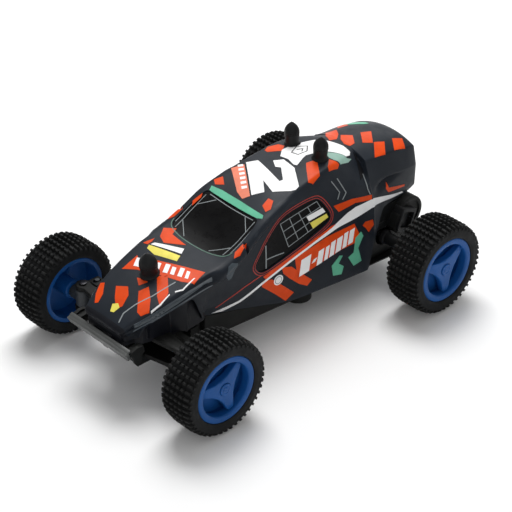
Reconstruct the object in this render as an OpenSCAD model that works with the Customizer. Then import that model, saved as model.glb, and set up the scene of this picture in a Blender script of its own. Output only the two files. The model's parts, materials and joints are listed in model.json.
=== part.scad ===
// Toy remote control buggy: moulded body shell on a tub chassis,
// rack steering at the front, geared rear axle, four lugged tyres.
// Frame: +Z up, -Y forward, +X the car's left. Origin on the floor,
// half way between the two axles. Millimetres.

/* [Wheels] */
// Distance between the front and rear axle lines
wheelbase = 149.5; // [149:0.25:150]
// Tyre outside diameter
tyre_d = 50; // [49:0.5:50]
// Width of a front tyre
front_tyre_w = 20.2; // [19.5:0.1:20.4]
// Width of a rear tyre
rear_tyre_w = 21.2; // [20.5:0.1:21.4]
// Distance over the outside faces of the front tyres
front_track_out = 133; // [132:0.5:134]
// Distance over the outside faces of the rear tyres
rear_track_out = 136.4; // [135.5:0.1:137]
// Outside radius of the rim flange
rim_r = 17.6; // [17.3:0.1:17.9]

/* [Body] */
// Wall thickness of the body shell
shell_wall = 1.5; // [1.2:0.1:1.7]
// Height of the roof and bonnet posts above the skin
post_h = 12; // [8:0.5:14]
// Depth the window panels sit below the skin
window_sink = 0.6; // [0.3:0.1:0.8]
// Half width of the front bumper
bumper_half = 25.4; // [18:0.2:27]

/* [Steering] */
// Distance from the middle of the car to a kingpin
kingpin_x = 40; // [39.5:0.1:40.5]
// Length of the steering lever, kingpin to rack pin
lever_r = 9; // [8.9:0.05:9.1]
// Kingpin radius
kingpin_r = 1.2; // [1:0.1:1.4]
// Front stub axle radius
stub_r = 1.25; // [1:0.05:1.5]

/* [Drive] */
// Rear axle radius
axle_r = 1.5; // [1.2:0.1:1.6]
// Teeth on the axle gear
axle_teeth = 30; // [29:1:30]
// Teeth on the large half of the reduction gear
reduction_teeth = 28; // [27:1:28]

/* [Battery] */
// Cell diameter
cell_d = 14.2; // [13.8:0.1:14.4]
// Cell length over the nub
cell_l = 50.5; // [49:0.5:51]

/* [Fits] */
// Running clearance on a radius
run = 0.06; // [0.03:0.01:0.09]
// Gap between parts that only lie side by side
gap = 0.15; // [0.1:0.05:0.25]

/* [Hidden] */
gear_m = 0.5;
pinion_teeth = 10;
$fn = 48;
e = 0.01;
tyre_r = tyre_d / 2;
yf = -wheelbase / 2;
yr = wheelbase / 2;
xf = front_track_out / 2;
xr = rear_track_out / 2;
shell_col = "#34393f";
black = "#1c1c1b";
steel = "#b9bcc0";
blue = "#2a62ac";

// ---- body lines: [y, value] pairs, front to back --------------------
// roof and bonnet height on the centre line
L_zc = [[-95,40.6],[-90,43.8],[-80,48.4],[-65,53.2],[-50,56.4],[-37,57.6],
  [-31,59.2],[-7.5,70.6],[8,76.2],[22,79],[40,81],[52,80.2],[62,78.2],
  [66,77.2],[80,75.8],[94,73],[98.5,69.9],[99.75,68]];
// upper edge, where the top surface turns into the side: half width, height
L_xa = [[-95,13],[-90,14.9],[-80,18],[-70,20.1],[-60,21.7],[-50,22.9],
  [-40,23.4],[-31,22.6],[-8,20.6],[8,20.2],[22,19.4],[38,18.2],[46,16.6],
  [52,15],[58,13.2],[62,12],[64,17.8],[80,18],[94,18],[100,17.5]];
L_za = [[-95,40.2],[-90,43.3],[-80,47.7],[-70,50.9],[-60,53.6],[-50,55.9],
  [-40,57.5],[-31,60.2],[-8,71],[8,75.4],[22,77.8],[38,79.3],[46,79],
  [52,78.2],[58,77],[62,76],[64,72],[80,70.3],[94,68],[98,66.8],[99.75,65]];
// lip under the bonnet edge, outer foot of the pillar, cant line
L_xb = [[-95,13.9],[-90,16],[-80,19.4],[-72,21.5],[-60,23],[-50,23.8],
  [-43,24.2],[-31,24.4],[-8,23],[8,22.2],[22,21.8],[38,22],[52,22.6],
  [62,23],[64,21.5],[80,21],[94,20.5],[100,19.5]];
L_zb = [[-95,36.8],[-90,38.8],[-80,42.4],[-72,44.9],[-60,47.2],[-50,48.8],
  [-43,49.6],[-31,53.5],[-8,66],[8,70.5],[22,71],[38,68],[52,64],[62,61],
  [64,61],[80,59],[94,57],[100,56]];
// shoulder crease along the flank
L_xs = [[-95,13.4],[-84.5,15.6],[-83.5,18.7],[-72,21.3],[-60,22.8],
  [-46.5,23.8],[-45.5,20],[-31,20.6],[-8,21.8],[8,23],[22,24.4],[38,25.6],
  [52,26.6],[62,26.6],[80,23.5],[94,21],[100,19.8]];
L_zs = [[-95,35],[-84.5,36.6],[-83.5,40.7],[-72,44.5],[-60,46.8],
  [-46.5,48.9],[-45.5,34],[-31,33.5],[-12,32.4],[10,38.2],[33,43.6],
  [58,49.8],[75,49],[91,46.5],[100,48]];
// lower edge of the shell
L_xl = [[-95,12.8],[-84.5,14.6],[-83.5,18.5],[-72,21.1],[-60,22.6],
  [-46.5,23.6],[-45.5,16],[-31,17],[-8,20],[8,22.3],[22,24.2],[38,26],
  [52,27.4],[58,28],[62,27.6],[72,24.8],[80,23.2],[91,21],[100,19.8]];
L_zl = [[-95,33],[-84.5,33],[-83.5,40.3],[-72,44.1],[-60,46.4],[-46.5,48.4],
  [-45.5,27.4],[-31,24],[-8,18.6],[4,15.6],[12,14.6],[22,14.4],[58,13.8],
  [61.5,26],[66,36],[72,45],[91,43.6],[99.75,45.6]];
STN = [-95,-92.5,-90,-84.5,-83.5,-80,-72,-65,-60,-50,-46.5,-45.5,-40,-31,
  -20,-8,0,8,22,32,38,46,52,58,62,64,68,72,80,88,94,98,99.75];

function lx(t, y) = lookup(y, t);
// one half section from the crown down to the lower edge
function half(y, dx, dz, drop) = [
  [0, lx(L_zc, y) - dz],
  [lx(L_xa, y) * 0.55, lx(L_za, y) + 0.72 * (lx(L_zc, y) - lx(L_za, y)) - dz],
  [lx(L_xa, y) - dx * 0.7, lx(L_za, y) - dz],
  [lx(L_xb, y) - dx, lx(L_zb, y) - dz * 0.3],
  [lx(L_xs, y) - dx, lx(L_zs, y)],
  [lx(L_xl, y) - dx, lx(L_zl, y) - drop]];
function ring(h, y) = concat(
  [for (p = h) [-p[0], y, p[1]]],
  [for (i = [len(h) - 1:-1:1]) [h[i][0], y, h[i][1]]]);

// skin over equal rings of points
module loft(rings) {
  n = len(rings[0]);
  m = len(rings);
  pts = [for (r = rings) for (p = r) p];
  side = [for (j = [0:m - 2]) for (i = [0:n - 1])
    let (a = j * n + i, b = j * n + (i + 1) % n)
    each [[a, b, b + n], [a, b + n, a + n]]];
  capa = [for (i = [1:n - 2]) [0, i + 1, i]];
  q = (m - 1) * n;
  capb = [for (i = [1:n - 2]) [q, q + i, q + i + 1]];
  polyhedron(points = pts, faces = concat(side, capa, capb));
}
module skin(dx = 0, dz = 0, drop = 0, ends = 0) {
  ys = [for (i = [0:len(STN) - 1]) i == 0 ? STN[i] + ends
    : i == len(STN) - 1 ? STN[i] - ends : STN[i]];
  loft([for (y = ys) ring(half(y, dx, dz, drop), y)]);
}
module xcyl(r, x0, x1, y, z) translate([x0, y, z]) rotate([0, 90, 0])
  cylinder(r = r, h = x1 - x0);
module zcyl(r, x, y, z0, z1) translate([x, y, z0]) cylinder(r = r, h = z1 - z0);
module ycyl(r, x, y0, y1, z) translate([x, y0, z]) rotate([-90, 0, 0])
  cylinder(r = r, h = y1 - y0);
module box(x0, x1, y0, y1, z0, z1) translate([x0, y0, z0])
  cube([x1 - x0, y1 - y0, z1 - z0]);
module both() { children(); mirror([1, 0, 0]) children(); }

// ---- gears ----------------------------------------------------------
PA = 25;
function inv(a) = tan(a) - a * PI / 180;
function tooth_half(n, r, b) = let (rp = gear_m * n / 2, rb = rp * cos(PA),
  rr = max(r, rb + 0.001))
  (PI * gear_m / 2 - b) / (2 * rp) * 180 / PI
  + (inv(PA) - inv(acos(rb / rr))) * 180 / PI;
// spur gear outline: n teeth, one tooth centred on angle a0
module gear2d(n, a0 = 0, b = 0.12) {
  rp = gear_m * n / 2;
  ra = rp + 0.8 * gear_m;
  rf = rp - 1.15 * gear_m;
  r1 = max(rf, rp * cos(PA));
  rs = [for (i = [0:4]) r1 + (ra - r1) * i / 4];
  polygon([for (k = [0:n - 1]) let (c = a0 + 360 * k / n) each concat(
    [let (h = tooth_half(n, r1, b)) rf * [cos(c - h), sin(c - h)]],
    [for (r = rs) let (h = tooth_half(n, r, b)) r * [cos(c - h), sin(c - h)]],
    [for (i = [4:-1:0]) let (r = rs[i], h = tooth_half(n, r, b))
      r * [cos(c + h), sin(c + h)]],
    [let (h = tooth_half(n, r1, b)) rf * [cos(c + h), sin(c + h)]])]);
}
// spur gear about an axis along X; angles measured from +Y towards +Z
module xgear(n, a0, x0, x1, y, z) translate([x0, y, z])
  multmatrix([[0, 0, 1, 0], [1, 0, 0, 0], [0, 1, 0, 0], [0, 0, 0, 1]])
    linear_extrude(x1 - x0) gear2d(n, a0);
module zgear(n, a0, x, y, z0, z1) translate([x, y, z0])
  linear_extrude(z1 - z0) gear2d(n, a0);

// drive train centres in the Y-Z plane
axle_z = 25;
mot_y = yr + 15.9;
mot_z = 34.2;
d_am = norm([mot_y - yr, mot_z - axle_z]);
d_ar = gear_m * (axle_teeth + pinion_teeth) / 2;
d_rm = gear_m * (reduction_teeth + pinion_teeth) / 2;
ang_am = atan2(mot_z - axle_z, mot_y - yr);
ang_ar = ang_am + acos((d_ar * d_ar + d_am * d_am - d_rm * d_rm) / (2 * d_ar * d_am));
red_y = yr + d_ar * cos(ang_ar);
red_z = axle_z + d_ar * sin(ang_ar);
ang_rm = atan2(mot_z - red_z, mot_y - red_y);

// steering centres in plan
pin_y = yf + lever_r;
rack_pitch_y = pin_y + 2.3;
sg_teeth = 16;
sg_big = 30;
sg_y = rack_pitch_y + gear_m * sg_teeth / 2;
sp_y = sg_y + gear_m * (sg_big + pinion_teeth) / 2;

// =====================================================================
// Body
// =====================================================================
module windscreen_prism(g = 0) {
  translate([0, 0, 40]) linear_extrude(45) offset(delta = -g)
    polygon([[-18.6, -9], [18.6, -9], [19.6, -29.5], [13, -33.4], [6, -35],
      [0, -35.5], [-6, -35], [-13, -33.4], [-19.6, -29.5]]);
}
module window_prism(g = 0) {
  translate([14, 0, 0]) rotate([90, 0, 90]) linear_extrude(16)
    offset(delta = -g)
    polygon([[-16.5, 43.6], [-14.4, 49.6], [-2, 61], [12, 66.6], [24.5, 67.4],
      [33.5, 61.5], [38.5, 54], [37.8, 47.6], [20, 43.6], [4, 39.2],
      [-8.5, 36.2], [-14, 37.8]]);
}
function boss_at() = [[9.8, -36], [17, 52]];
module boss_col(r, z0) both() for (p = boss_at()) zcyl(r, p[0], p[1], z0, 90);
module body_shell() {
  color(shell_col) difference() {
    union() {
      difference() {
        skin();
        skin(shell_wall, shell_wall, 8, shell_wall);
      }
      intersection() {
        skin();
        boss_col(3, 15.1);
      }
    }
    // raked lower nose
    translate([-30, -95, 39]) rotate([-30, 0, 0]) translate([0, -8, -14])
      cube([60, 8, 14]);
    windscreen_prism();
    both() window_prism();
    both() for (p = boss_at()) zcyl(1.35, p[0], p[1], 10, 27);
    zcyl(1.5, 0, -64.5, 40, 60);
    both() zcyl(1.5, 10, 39.3, 70, 90);
  }
}
module windscreen() {
  color("#101012") difference() {
    intersection() {
      translate([0, 0, -window_sink]) skin();
      windscreen_prism(gap);
    }
    translate([0, 0, -window_sink - 1.2]) skin();
  }
}
module side_window() {
  difference() {
    intersection() {
      translate([-window_sink, 0, 0]) skin();
      window_prism(gap);
    }
    translate([-window_sink - 1.2, 0, 0]) skin();
  }
}
module side_window_left() color("#131315") side_window();
module side_window_right() color("#131315") mirror([1, 0, 0]) side_window();
// domed post cap standing on the skin, with a stem through it
module post(x, y, z, r) {
  difference() {
    translate([x, y, z - 3]) rotate_extrude()
      polygon(concat([[0, 0], [r + 0.9, 0], [r + 0.9, 3.6], [r, 5]],
        [for (a = [0:15:90]) [r * cos(a), post_h + 3 - r * 1.15 + r * 1.15 * sin(a)]]));
    translate([0, 0, 0.02]) skin();
  }
  zcyl(1.44, x, y, z - 4, z + 2);
}
module bonnet_post() color(black) post(0, -64.5, lx(L_zc, -64.5), 4.5);
module roof_post_left() color(black) post(10, 39.3, 80.4, 3.8);
module roof_post_right() color(black) mirror([1, 0, 0]) post(10, 39.3, 80.4, 3.8);
// pan head screw with a cross slot, head down, shank up
module screw(x, y, z, r, rh, h, l) difference() {
  union() {
    zcyl(rh, x, y, z - h, z);
    zcyl(r, x, y, z - e, z + l);
  }
  translate([x, y, z - h - 1]) {
    translate([-rh * 0.6, -0.3, 0]) cube([rh * 1.2, 0.6, 1.6]);
    translate([-0.3, -rh * 0.6, 0]) cube([0.6, rh * 1.2, 1.6]);
  }
}
module body_screws() color(steel)
  both() for (p = boss_at()) screw(p[0], p[1], 12.9, 1.25, 2.5, 1.5, 12);

// =====================================================================
// Chassis
// =====================================================================
tub_z0 = 11.2;
floor_z = 13;
function tub_w(y) = 17.2 + 0.0835 * (y + 27);
function tub_top(y) = y < 60 ? lx(L_zl, y) - 0.35 : 13.45;
TUB = [-44, -31, -20, -8, 4, 12, 22, 38, 57.5, 60, 84];
module tub_loft(inset, z0, up) loft([for (y = TUB) let (w = tub_w(y) - inset)
  [[w - 1.5, y, z0], [w, y, z0 + 1.8], [w, y, tub_top(y) + up],
   [-w, y, tub_top(y) + up], [-w, y, z0 + 1.8], [-w + 1.5, y, z0]]]);
door_y0 = -13.5;
door_y1 = 49;
hinge_y = -17.2;
hinge_z = 12.4;
module chassis_tub() {
  color(black) difference() {
    union() {
      difference() {
        union() {
          tub_loft(0, tub_z0, 0);
          // lip that registers inside the shell
          intersection() {
            tub_loft(1.9, tub_z0, 3.5);
            box(-40, 40, -42, 57, 0, 60);
          }
        }
        intersection() {
          translate([0, 0, floor_z - tub_z0]) tub_loft(3.3, tub_z0 - 0.01, 12);
          box(-40, 40, -42.5, 90, 0, 60);
        }
      }
      // battery bay
      box(-16.6, 16.6, -15.5, 43.5, floor_z - 0.5, 42.8);
      box(-8, 8, 43.4, 50.5, tub_z0, 18);
      // pillars under the body bosses
      both() for (p = boss_at()) zcyl(4, p[0], p[1], tub_z0, 15);
      // board posts
      both() for (y = [-5, 33]) zcyl(1.8, 11.5, y, 42.7, 46);
      // hinge ears
      both() box(9.2, 12.2, -19, -15.4, floor_z - 0.5, 15);
    }
    // bay hollow and door opening
    box(-15.2, 15.2, -13.7, 41.9, 5, 41.4);
    box(-15.2, 15.2, -13.8, door_y1 + 0.2, 5, 12.75);
    box(-9.1, 9.1, -18.8, -13.6, 5, 14.1);
    xcyl(0.86, -12.5, 12.5, hinge_y, hinge_z);
    zcyl(1.75, 0, 46, 5, 17);
    both() for (p = boss_at()) {
      zcyl(1.5, p[0], p[1], 5, 30);
      zcyl(2.8, p[0], p[1], 5, 12.9);
    }
    both() for (y = [-5, 33]) zcyl(0.8, 11.5, y, 43.5, 50);
    // front carrier screws and rear housing screws
    both() zcyl(1.5, 5, -42.4, 5, 13.1);
    both() zcyl(1.5, 18, 66, 5, 20);
    box(-12.3, 12.3, -45, -42.2, 13, 15.1);
    // power switch slot
    box(-5.2, 5.2, 53.2, 56.4, 5, 20);
    // contact leads
    both() box(5, 9, 41, 44, 34, 36);
  }
}
module battery_door() {
  color(black) {
    difference() {
      union() {
        box(-15, 15, door_y0, door_y1, tub_z0, 12.6);
        box(-8.9, 8.9, hinge_y, door_y0 + 1, tub_z0 + 0.1, 12.6);
        xcyl(1.15, -8.9, 8.9, hinge_y, hinge_z);
        // round grip pads
        both() zcyl(7, 12.3, 23, 5.8, 11.1);
        both() box(8, 15, 17, 29, 11, 11.4);
      }
      zcyl(1.36, 0, 46, 5, 20);
      zcyl(2.6, 0, 46, 5, 11.9);
      both() zcyl(5.2, 12.3, 23, 5, 6.8);
      // finger groove
      for (i = [0:4]) box(-7, 7, 34 + i * 1.6, 34.7 + i * 1.6, 10.5, tub_z0 + 0.4);
    }
    xcyl(0.8, -12, 12, hinge_y, hinge_z);
  }
}
module door_screw() color(steel) screw(0, 46, 11.9, 1.3, 2.3, 0.7, 4.6);
// two cells side by side, one above
cells = [[-7.3, 21, 1], [7.3, 21, -1], [0, 33.9, 1]];
cell_r = cell_d / 2;
module cell(x, z, s) translate([x, 14.1, z]) rotate([s > 0 ? -90 : 90, 0, 0]) {
  translate([0, 0, -cell_l / 2]) cylinder(r = cell_r, h = cell_l - 1.3);
  translate([0, 0, -cell_l / 2]) cylinder(r = 2.7, h = cell_l);
}
module battery_cells() color("#c9a23a") for (c = cells) cell(c[0], c[1], c[2]);
module battery_contacts() color(steel) {
  for (c = cells) for (s = [-1, 1]) {
    yw = s > 0 ? 41.9 - 0.5 : -13.7 + 0.1;
    box(c[0] - 4.5, c[0] + 4.5, yw, yw + 0.4, c[1] - 4.5, c[1] + 4.5);
    // stacked rings of the coil, or the raised nub plate
    if (s == -c[2]) for (i = [0:2])
      translate([c[0], s > 0 ? 41.4 - 0.62 * i : -13.2 + 0.62 * i, c[1]])
        rotate([90, 0, 0]) rotate_extrude($fn = 24)
          translate([3.6 - i * 0.7, 0]) circle(r = 0.33, $fn = 16);
    else ycyl(2, c[0], s > 0 ? 40.0 : -13.3, s > 0 ? 41.5 : -11.8, c[1]);
  }
}
module circuit_board() color("#2f6b3a") difference() {
  box(-14, 14, -8, 36, 46, 47.2);
  both() for (y = [-5, 33]) zcyl(0.9, 11.5, y, 40, 50);
}
module board_components() {
  color("#222222") {
    box(-5, 5, -2, 6, 47.2, 49);
    box(-10, -4, 12, 17, 47.2, 48.8);
    both() zcyl(1.7, 11.5, -5, 47.2, 48.2);
    both() zcyl(1.7, 11.5, 33, 47.2, 48.2);
  }
  color(steel) box(6, 10, 10, 20, 47.2, 50.6);
  color("#303a66") { zcyl(2.6, -9, 22, 47.2, 53); zcyl(2.1, -9, 28, 47.2, 51.5); }
  color("#b87333") ycyl(2, 4, 23, 31, 49.2);
}
module power_switch() color("#b9bcc0") difference() {
  box(-6.5, 6.5, 52, 57.6, 13.1, 18);
  box(-4.9, 4.9, 53.4, 56.2, 12, 16);
}
module switch_slider() color("#202020") {
  box(-4.4, -0.4, 53.6, 56, 13.3, 15.7);
  box(-3.6, -1.2, 53.8, 55.8, 10.4, 13.4);
}

// =====================================================================
// Front end
// =====================================================================
arm_z0 = 18;
arm_z1 = 20.5;
uarm_z0 = 30.2;
module arm_plan() both() polygon([[0, yf - 6], [12, yf - 5.3], [27, yf - 2],
  [36, yf - 4.1], [kingpin_x, yf - 4.2], [kingpin_x, yf + 4.2], [35, yf + 5],
  [13, yf + 24], [0, yf + 24]]);
post_pts = [[11.2, sg_y - 1.4], [11.2, sp_y + 3.6]];
module front_carrier() {
  color(black) difference() {
    union() {
      translate([0, 0, arm_z0]) linear_extrude(arm_z1 - arm_z0) arm_plan();
      both() zcyl(4.5, kingpin_x, yf, arm_z0, arm_z1);
      // stiffening ribs on the arms
      both() box(12, 34, yf - 0.7, yf + 0.7, arm_z0 - 2, arm_z0 + e);
      // steering tray and tail plate that screws to the tub
      box(-13, 13, yf - 9, -45.2, 15, 16.8);
      both() box(11.7, 13, yf - 9, -45.2, 15, arm_z1);
      box(-13, 13, -46, -44.6, 13.2, 24);
      box(-10.8, 10.8, -45, -40.4, 13.1, 14.9);
      // nose block that carries the bumper
      box(-9, 9, -91, yf - 7, 17, 22.5);
      box(-13, 13, yf - 9, yf - 6, 15, 31);
      for (p = post_pts) both() zcyl(1.7, p[0], p[1], 16, 31);
      zcyl(2.4, 0, sg_y, 16, 21.6);
    }
    both() zcyl(kingpin_r, kingpin_x, yf, 10, 30);
    zcyl(1, 0, sg_y, 17.5, 25);
    for (p = post_pts) both() zcyl(0.85, p[0], p[1], 25, 35);
    both() zcyl(1.3, 5, -42.4, 10, 20);
    // bumper screws
    both() ycyl(1.1, 5.5, -92, -84, 19.8);
    // trim lever pivot and window
    zcyl(1.6, 0, trim_y, 10, 18.9);
  }
}
trim_y = yf + 4;
module trim_lever() color("#262626") {
  zcyl(4.2, 0, trim_y, 13.2, 14.8);
  zcyl(1.53, 0, trim_y, 14.7, 18.6);
  box(-0.9, 0.9, trim_y - 8.5, trim_y, 13.2, 14.6);
}
module centring_spring() color(steel) {
  translate([0, trim_y, 17.6]) rotate_extrude() translate([2.3, 0])
    circle(r = 0.3, $fn = 16);
  both() translate([2.3, trim_y, 17.6]) rotate([-90, 0, 14])
    cylinder(r = 0.25, h = 5.4);
}
module steering_cover() {
  w = 14.4;
  out = [[-84, 34.2], [-66.5, 33.4], [-62, 27.5], [-48.2, 25], [-47.4, 36],
    [-41.5, 36], [-41.5, 52.4], [-48, 52], [-60, 49.6], [-72, 46], [-84, 40.4]];
  inn = [[-82.7, 20], [-42.8, 20], [-42.8, 51.1], [-48, 50.7],
    [-60, 48.3], [-72, 44.7], [-82.7, 39.4]];
  color("#20242c") difference() {
    translate([-w, 0, 0]) rotate([90, 0, 90]) linear_extrude(2 * w) polygon(out);
    translate([-w + 1.3, 0, 0]) rotate([90, 0, 90]) linear_extrude(2 * w - 2.6)
      polygon(inn);
    // rack windows
    box(-20, 20, pin_y - 4.2, pin_y + 4.2, 20, 32.2);
  }
}
module steering_plate() {
  color(black) difference() {
    union() {
      box(-13, 13, sg_y - 3.2, -43, 31.1, 32.5);
      // upper arms
      translate([0, 0, uarm_z0]) linear_extrude(2.3) both()
        polygon([[0, yf - 5.8], [13, yf - 5.6], [36, yf - 2.6],
          [kingpin_x, yf - 3.5], [kingpin_x, yf + 3.5], [35, yf + 2.8],
          [13, yf + 5.6], [0, yf + 5.6]]);
      both() zcyl(3.8, kingpin_x, yf, uarm_z0, uarm_z0 + 2.3);
      both() box(9.6, 13, yf + 5, sg_y - 3, 31.1, 32.5);
    }
    both() zcyl(kingpin_r, kingpin_x, yf, 25, 40);
    zcyl(1, 0, sg_y, 25, 40);
    zcyl(3.1, 0, sp_y, 25, 40);
    for (p = post_pts) both() zcyl(0.95, p[0], p[1], 25, 40);
  }
}
module steering_screws() color(steel) for (p = post_pts) both()
  mirror([0, 0, 1]) screw(p[0], p[1], -32.5, 0.8, 1.6, 0.9, 6);
module kingpins() color(steel) both() {
  zcyl(kingpin_r, kingpin_x, yf, 17.4, 33);
  zcyl(kingpin_r + 0.7, kingpin_x, yf, 32.6, 33.4);
}
// flat-sided can motor standing on its shaft end
module can(r, f, l) intersection() {
  cylinder(r = r, h = l);
  translate([-r - 1, -f, -1]) cube([2 * r + 2, 2 * f, l + 2]);
}
module steering_motor() color(steel) difference() {
  union() {
    translate([0, sp_y, 32.6]) can(7.7, 6, 16.2);
    zcyl(2.95, 0, sp_y, 31.2, 33);
  }
  zcyl(1 + run, 0, sp_y, 30, 37);
}
module steering_pinion() color("#e8e4d8") {
  zgear(pinion_teeth, 270 + 180 / pinion_teeth, 0, sp_y, 21.6, 25);
  zcyl(1, 0, sp_y, 20.6, 36.5);
}
module steering_gear() color("#e8e4d8") difference() {
  union() {
    // a tooth of the large wheel points at the motor pinion
    zgear(sg_big, 90, 0, sg_y, 22, 24.6);
    zgear(sg_teeth, 270, 0, sg_y, 24.5, 30.6);
  }
  zcyl(1 + run, 0, sg_y, 20, 32);
}
module steering_gear_shaft() color(steel) zcyl(1, 0, sg_y, 17.6, 32.3);
module rack_teeth() {
  p = PI * gear_m;
  b = 0.12;
  hw = p / 4 - b / 2;
  t = tan(PA);
  for (i = [-4:3]) translate([(i + 0.5) * p, rack_pitch_y])
    polygon([[-hw - 0.62 * t, -0.62], [hw + 0.62 * t, -0.62],
      [hw - 0.4 * t, 0.4], [-hw + 0.4 * t, 0.4]]);
}
module steering_rack() color("#2b2b2b") difference() {
  union() {
    box(-kingpin_x, kingpin_x, pin_y - 1.9, pin_y + 1.7, 27.4, 30.4);
    both() box(kingpin_x - 3.4, kingpin_x + 3.2, pin_y - 3.4, pin_y + 3, 27.4, 30.4);
    translate([0, 0, 27.4]) linear_extrude(3) rack_teeth();
  }
  both() {
    box(kingpin_x - 1.4, kingpin_x + 1.4, pin_y - 1.4, pin_y + 0.8, 25, 35);
    zcyl(1.4, kingpin_x, pin_y - 1.1, 25, 35);
    zcyl(1.4, kingpin_x, pin_y + 0.6, 25, 35);
  }
}
module knuckle() {
  difference() {
    union() {
      zcyl(4, kingpin_x, yf, 20.8, 29.9);
      xcyl(3.6, kingpin_x, 47.4, yf, axle_z);
      box(kingpin_x - 2, kingpin_x + 2, yf, pin_y, 22.6, 26.9);
      zcyl(2, kingpin_x, pin_y, 22.6, 26.9);
    }
    zcyl(kingpin_r + run, kingpin_x, yf, 10, 40);
    xcyl(stub_r, 43.5, 50, yf, axle_z);
  }
  zcyl(1.2, kingpin_x, pin_y, 26.8, 31);
}
module knuckle_left() color("#3a3d42") knuckle();
module knuckle_right() color("#3a3d42") mirror([1, 0, 0]) knuckle();
// stub axle with its retaining head
module stub_axle() {
  xcyl(stub_r, 43.6, xf - 3.9, yf, axle_z);
  xcyl(2.4, xf - 4, xf - 2.6, yf, axle_z);
}
module stub_axle_left() color(steel) stub_axle();
module stub_axle_right() color(steel) mirror([1, 0, 0]) stub_axle();
module front_bumper() {
  a = atan2(5.5, 12);
  color("#2b2e31") difference() {
    union() {
      // tilted blade, top edge leaning forward
      translate([0, -91.8, 23]) rotate([a, 0, 0]) {
        translate([-bumper_half, -2.2, 2]) cube([2 * bumper_half, 2.2, 11.2]);
        translate([-bumper_half + 3, -2.2, 0]) cube([2 * bumper_half - 6, 2.2, 3]);
        both() box(8, 10, -0.1, 2.2, 0, 8);
      }
      box(-11, 11, -93.6, -91.1, 16.6, 24.4);
    }
    both() ycyl(1.3, 5.5, -100, -90, 19.8);
    both() ycyl(2.3, 5.5, -100, -92.4, 19.8);
  }
}
module carrier_screws() color(steel) {
  both() screw(5, -42.4, 11.1, 1.25, 1.5, 1, 3.6);
  both() translate([5.5, -92.5, 19.8]) rotate([-90, 0, 0]) {
    translate([0, 0, -0.9]) cylinder(r = 2, h = 0.95);
    cylinder(r = 1.05, h = 7);
  }
}

// =====================================================================
// Wheels: local axis X, outer face at x = 0, hub towards -x
// =====================================================================
module tyre(w) {
  r = tyre_r;
  translate([-w / 2, 0, 0]) rotate([0, 90, 0]) rotate_extrude($fn = 96)
    polygon([[17.08, -w / 2 + 2.1], [17.08, w / 2 - 2.1], [rim_r + 0.08, w / 2 - 2.1],
      [rim_r + 0.08, w / 2 - 0.7], [19.4, w / 2], [22.2, w / 2 - 0.2],
      [r - 1.1, w / 2 - 1.4], [r - 0.2, w / 2 - 2.6], [r, w / 2 - 5],
      [r - 0.9, w / 2 - 5.2], [r - 0.9, w / 2 - 6.4], [r, w / 2 - 6.6],
      [r, -w / 2 + 6.6], [r - 0.9, -w / 2 + 6.4], [r - 0.9, -w / 2 + 5.2],
      [r, -w / 2 + 5], [r - 0.2, -w / 2 + 2.6], [r - 1.1, -w / 2 + 1.4],
      [22.2, -w / 2 + 0.2], [19.4, -w / 2], [rim_r + 0.08, -w / 2 + 0.7],
      [rim_r + 0.08, -w / 2 + 2.1]]);
}
module rim(w, bore, hub_l) {
  difference() {
    union() {
      rotate([0, -90, 0]) rotate_extrude($fn = 96)
        polygon([[15.3, 0.7], [rim_r, 0.7], [rim_r, 2], [17, 2], [17, w - 2],
          [rim_r, w - 2], [rim_r, w - 0.7], [15.3, w - 0.7]]);
      translate([-5.4, 0, 0]) rotate([0, 90, 0]) cylinder(r = 15.5, h = 4);
      translate([-hub_l, 0, 0]) rotate([0, 90, 0]) cylinder(r = 4.6, h = hub_l - 1);
      translate([-5.4, 0, 0]) rotate([0, 90, 0]) cylinder(r = 6, h = 4.6);
    }
    // three windows between broad flared spokes
    for (a = [0:120:240]) rotate([a + 60, 0, 0]) translate([-10, 0, 0])
      rotate([90, 0, 90]) linear_extrude(12) intersection() {
        difference() { circle(r = 14.2); circle(r = 7); }
        polygon([[6, -0.1], [10, -7], [16, -11.5], [16, 11.5], [10, 7], [6, 0.1]]);
      }
    translate([-30, 0, 0]) rotate([0, 90, 0]) cylinder(r = bore, h = 40);
    translate([-4.2, 0, 0]) rotate([0, 90, 0]) cylinder(r = 3.45, h = 10);
  }
}
module hub_cap() translate([-1.95, 0, 0]) rotate([0, 90, 0]) {
  cylinder(r = 3.42, h = 1.2);
  difference() { cylinder(r = 2.6, h = 1.5); cylinder(r = 1.7, h = 3); }
}
module at_fl() translate([xf, yf, axle_z]) children();
module at_rl() translate([xr, yr, axle_z]) children();
module front_rim_left() color(blue) at_fl() rim(front_tyre_w, stub_r + run, 18.4);
module front_rim_right() color(blue) mirror([1, 0, 0]) at_fl()
  rim(front_tyre_w, stub_r + run, 18.4);
module front_tyre_left() color(black) at_fl() tyre(front_tyre_w);
module front_tyre_right() color(black) mirror([1, 0, 0]) at_fl() tyre(front_tyre_w);
module front_hub_cap_left() color(blue) at_fl() hub_cap();
module front_hub_cap_right() color(blue) mirror([1, 0, 0]) at_fl() hub_cap();
module rear_rim_left() color(blue) at_rl() rim(rear_tyre_w, axle_r, 19);
module rear_rim_right() color(blue) mirror([1, 0, 0]) at_rl()
  rim(rear_tyre_w, axle_r, 19);
module rear_tyre_left() color(black) at_rl() tyre(rear_tyre_w);
module rear_tyre_right() color(black) mirror([1, 0, 0]) at_rl() tyre(rear_tyre_w);
module rear_hub_caps() color(blue) both() at_rl() hub_cap();

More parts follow.
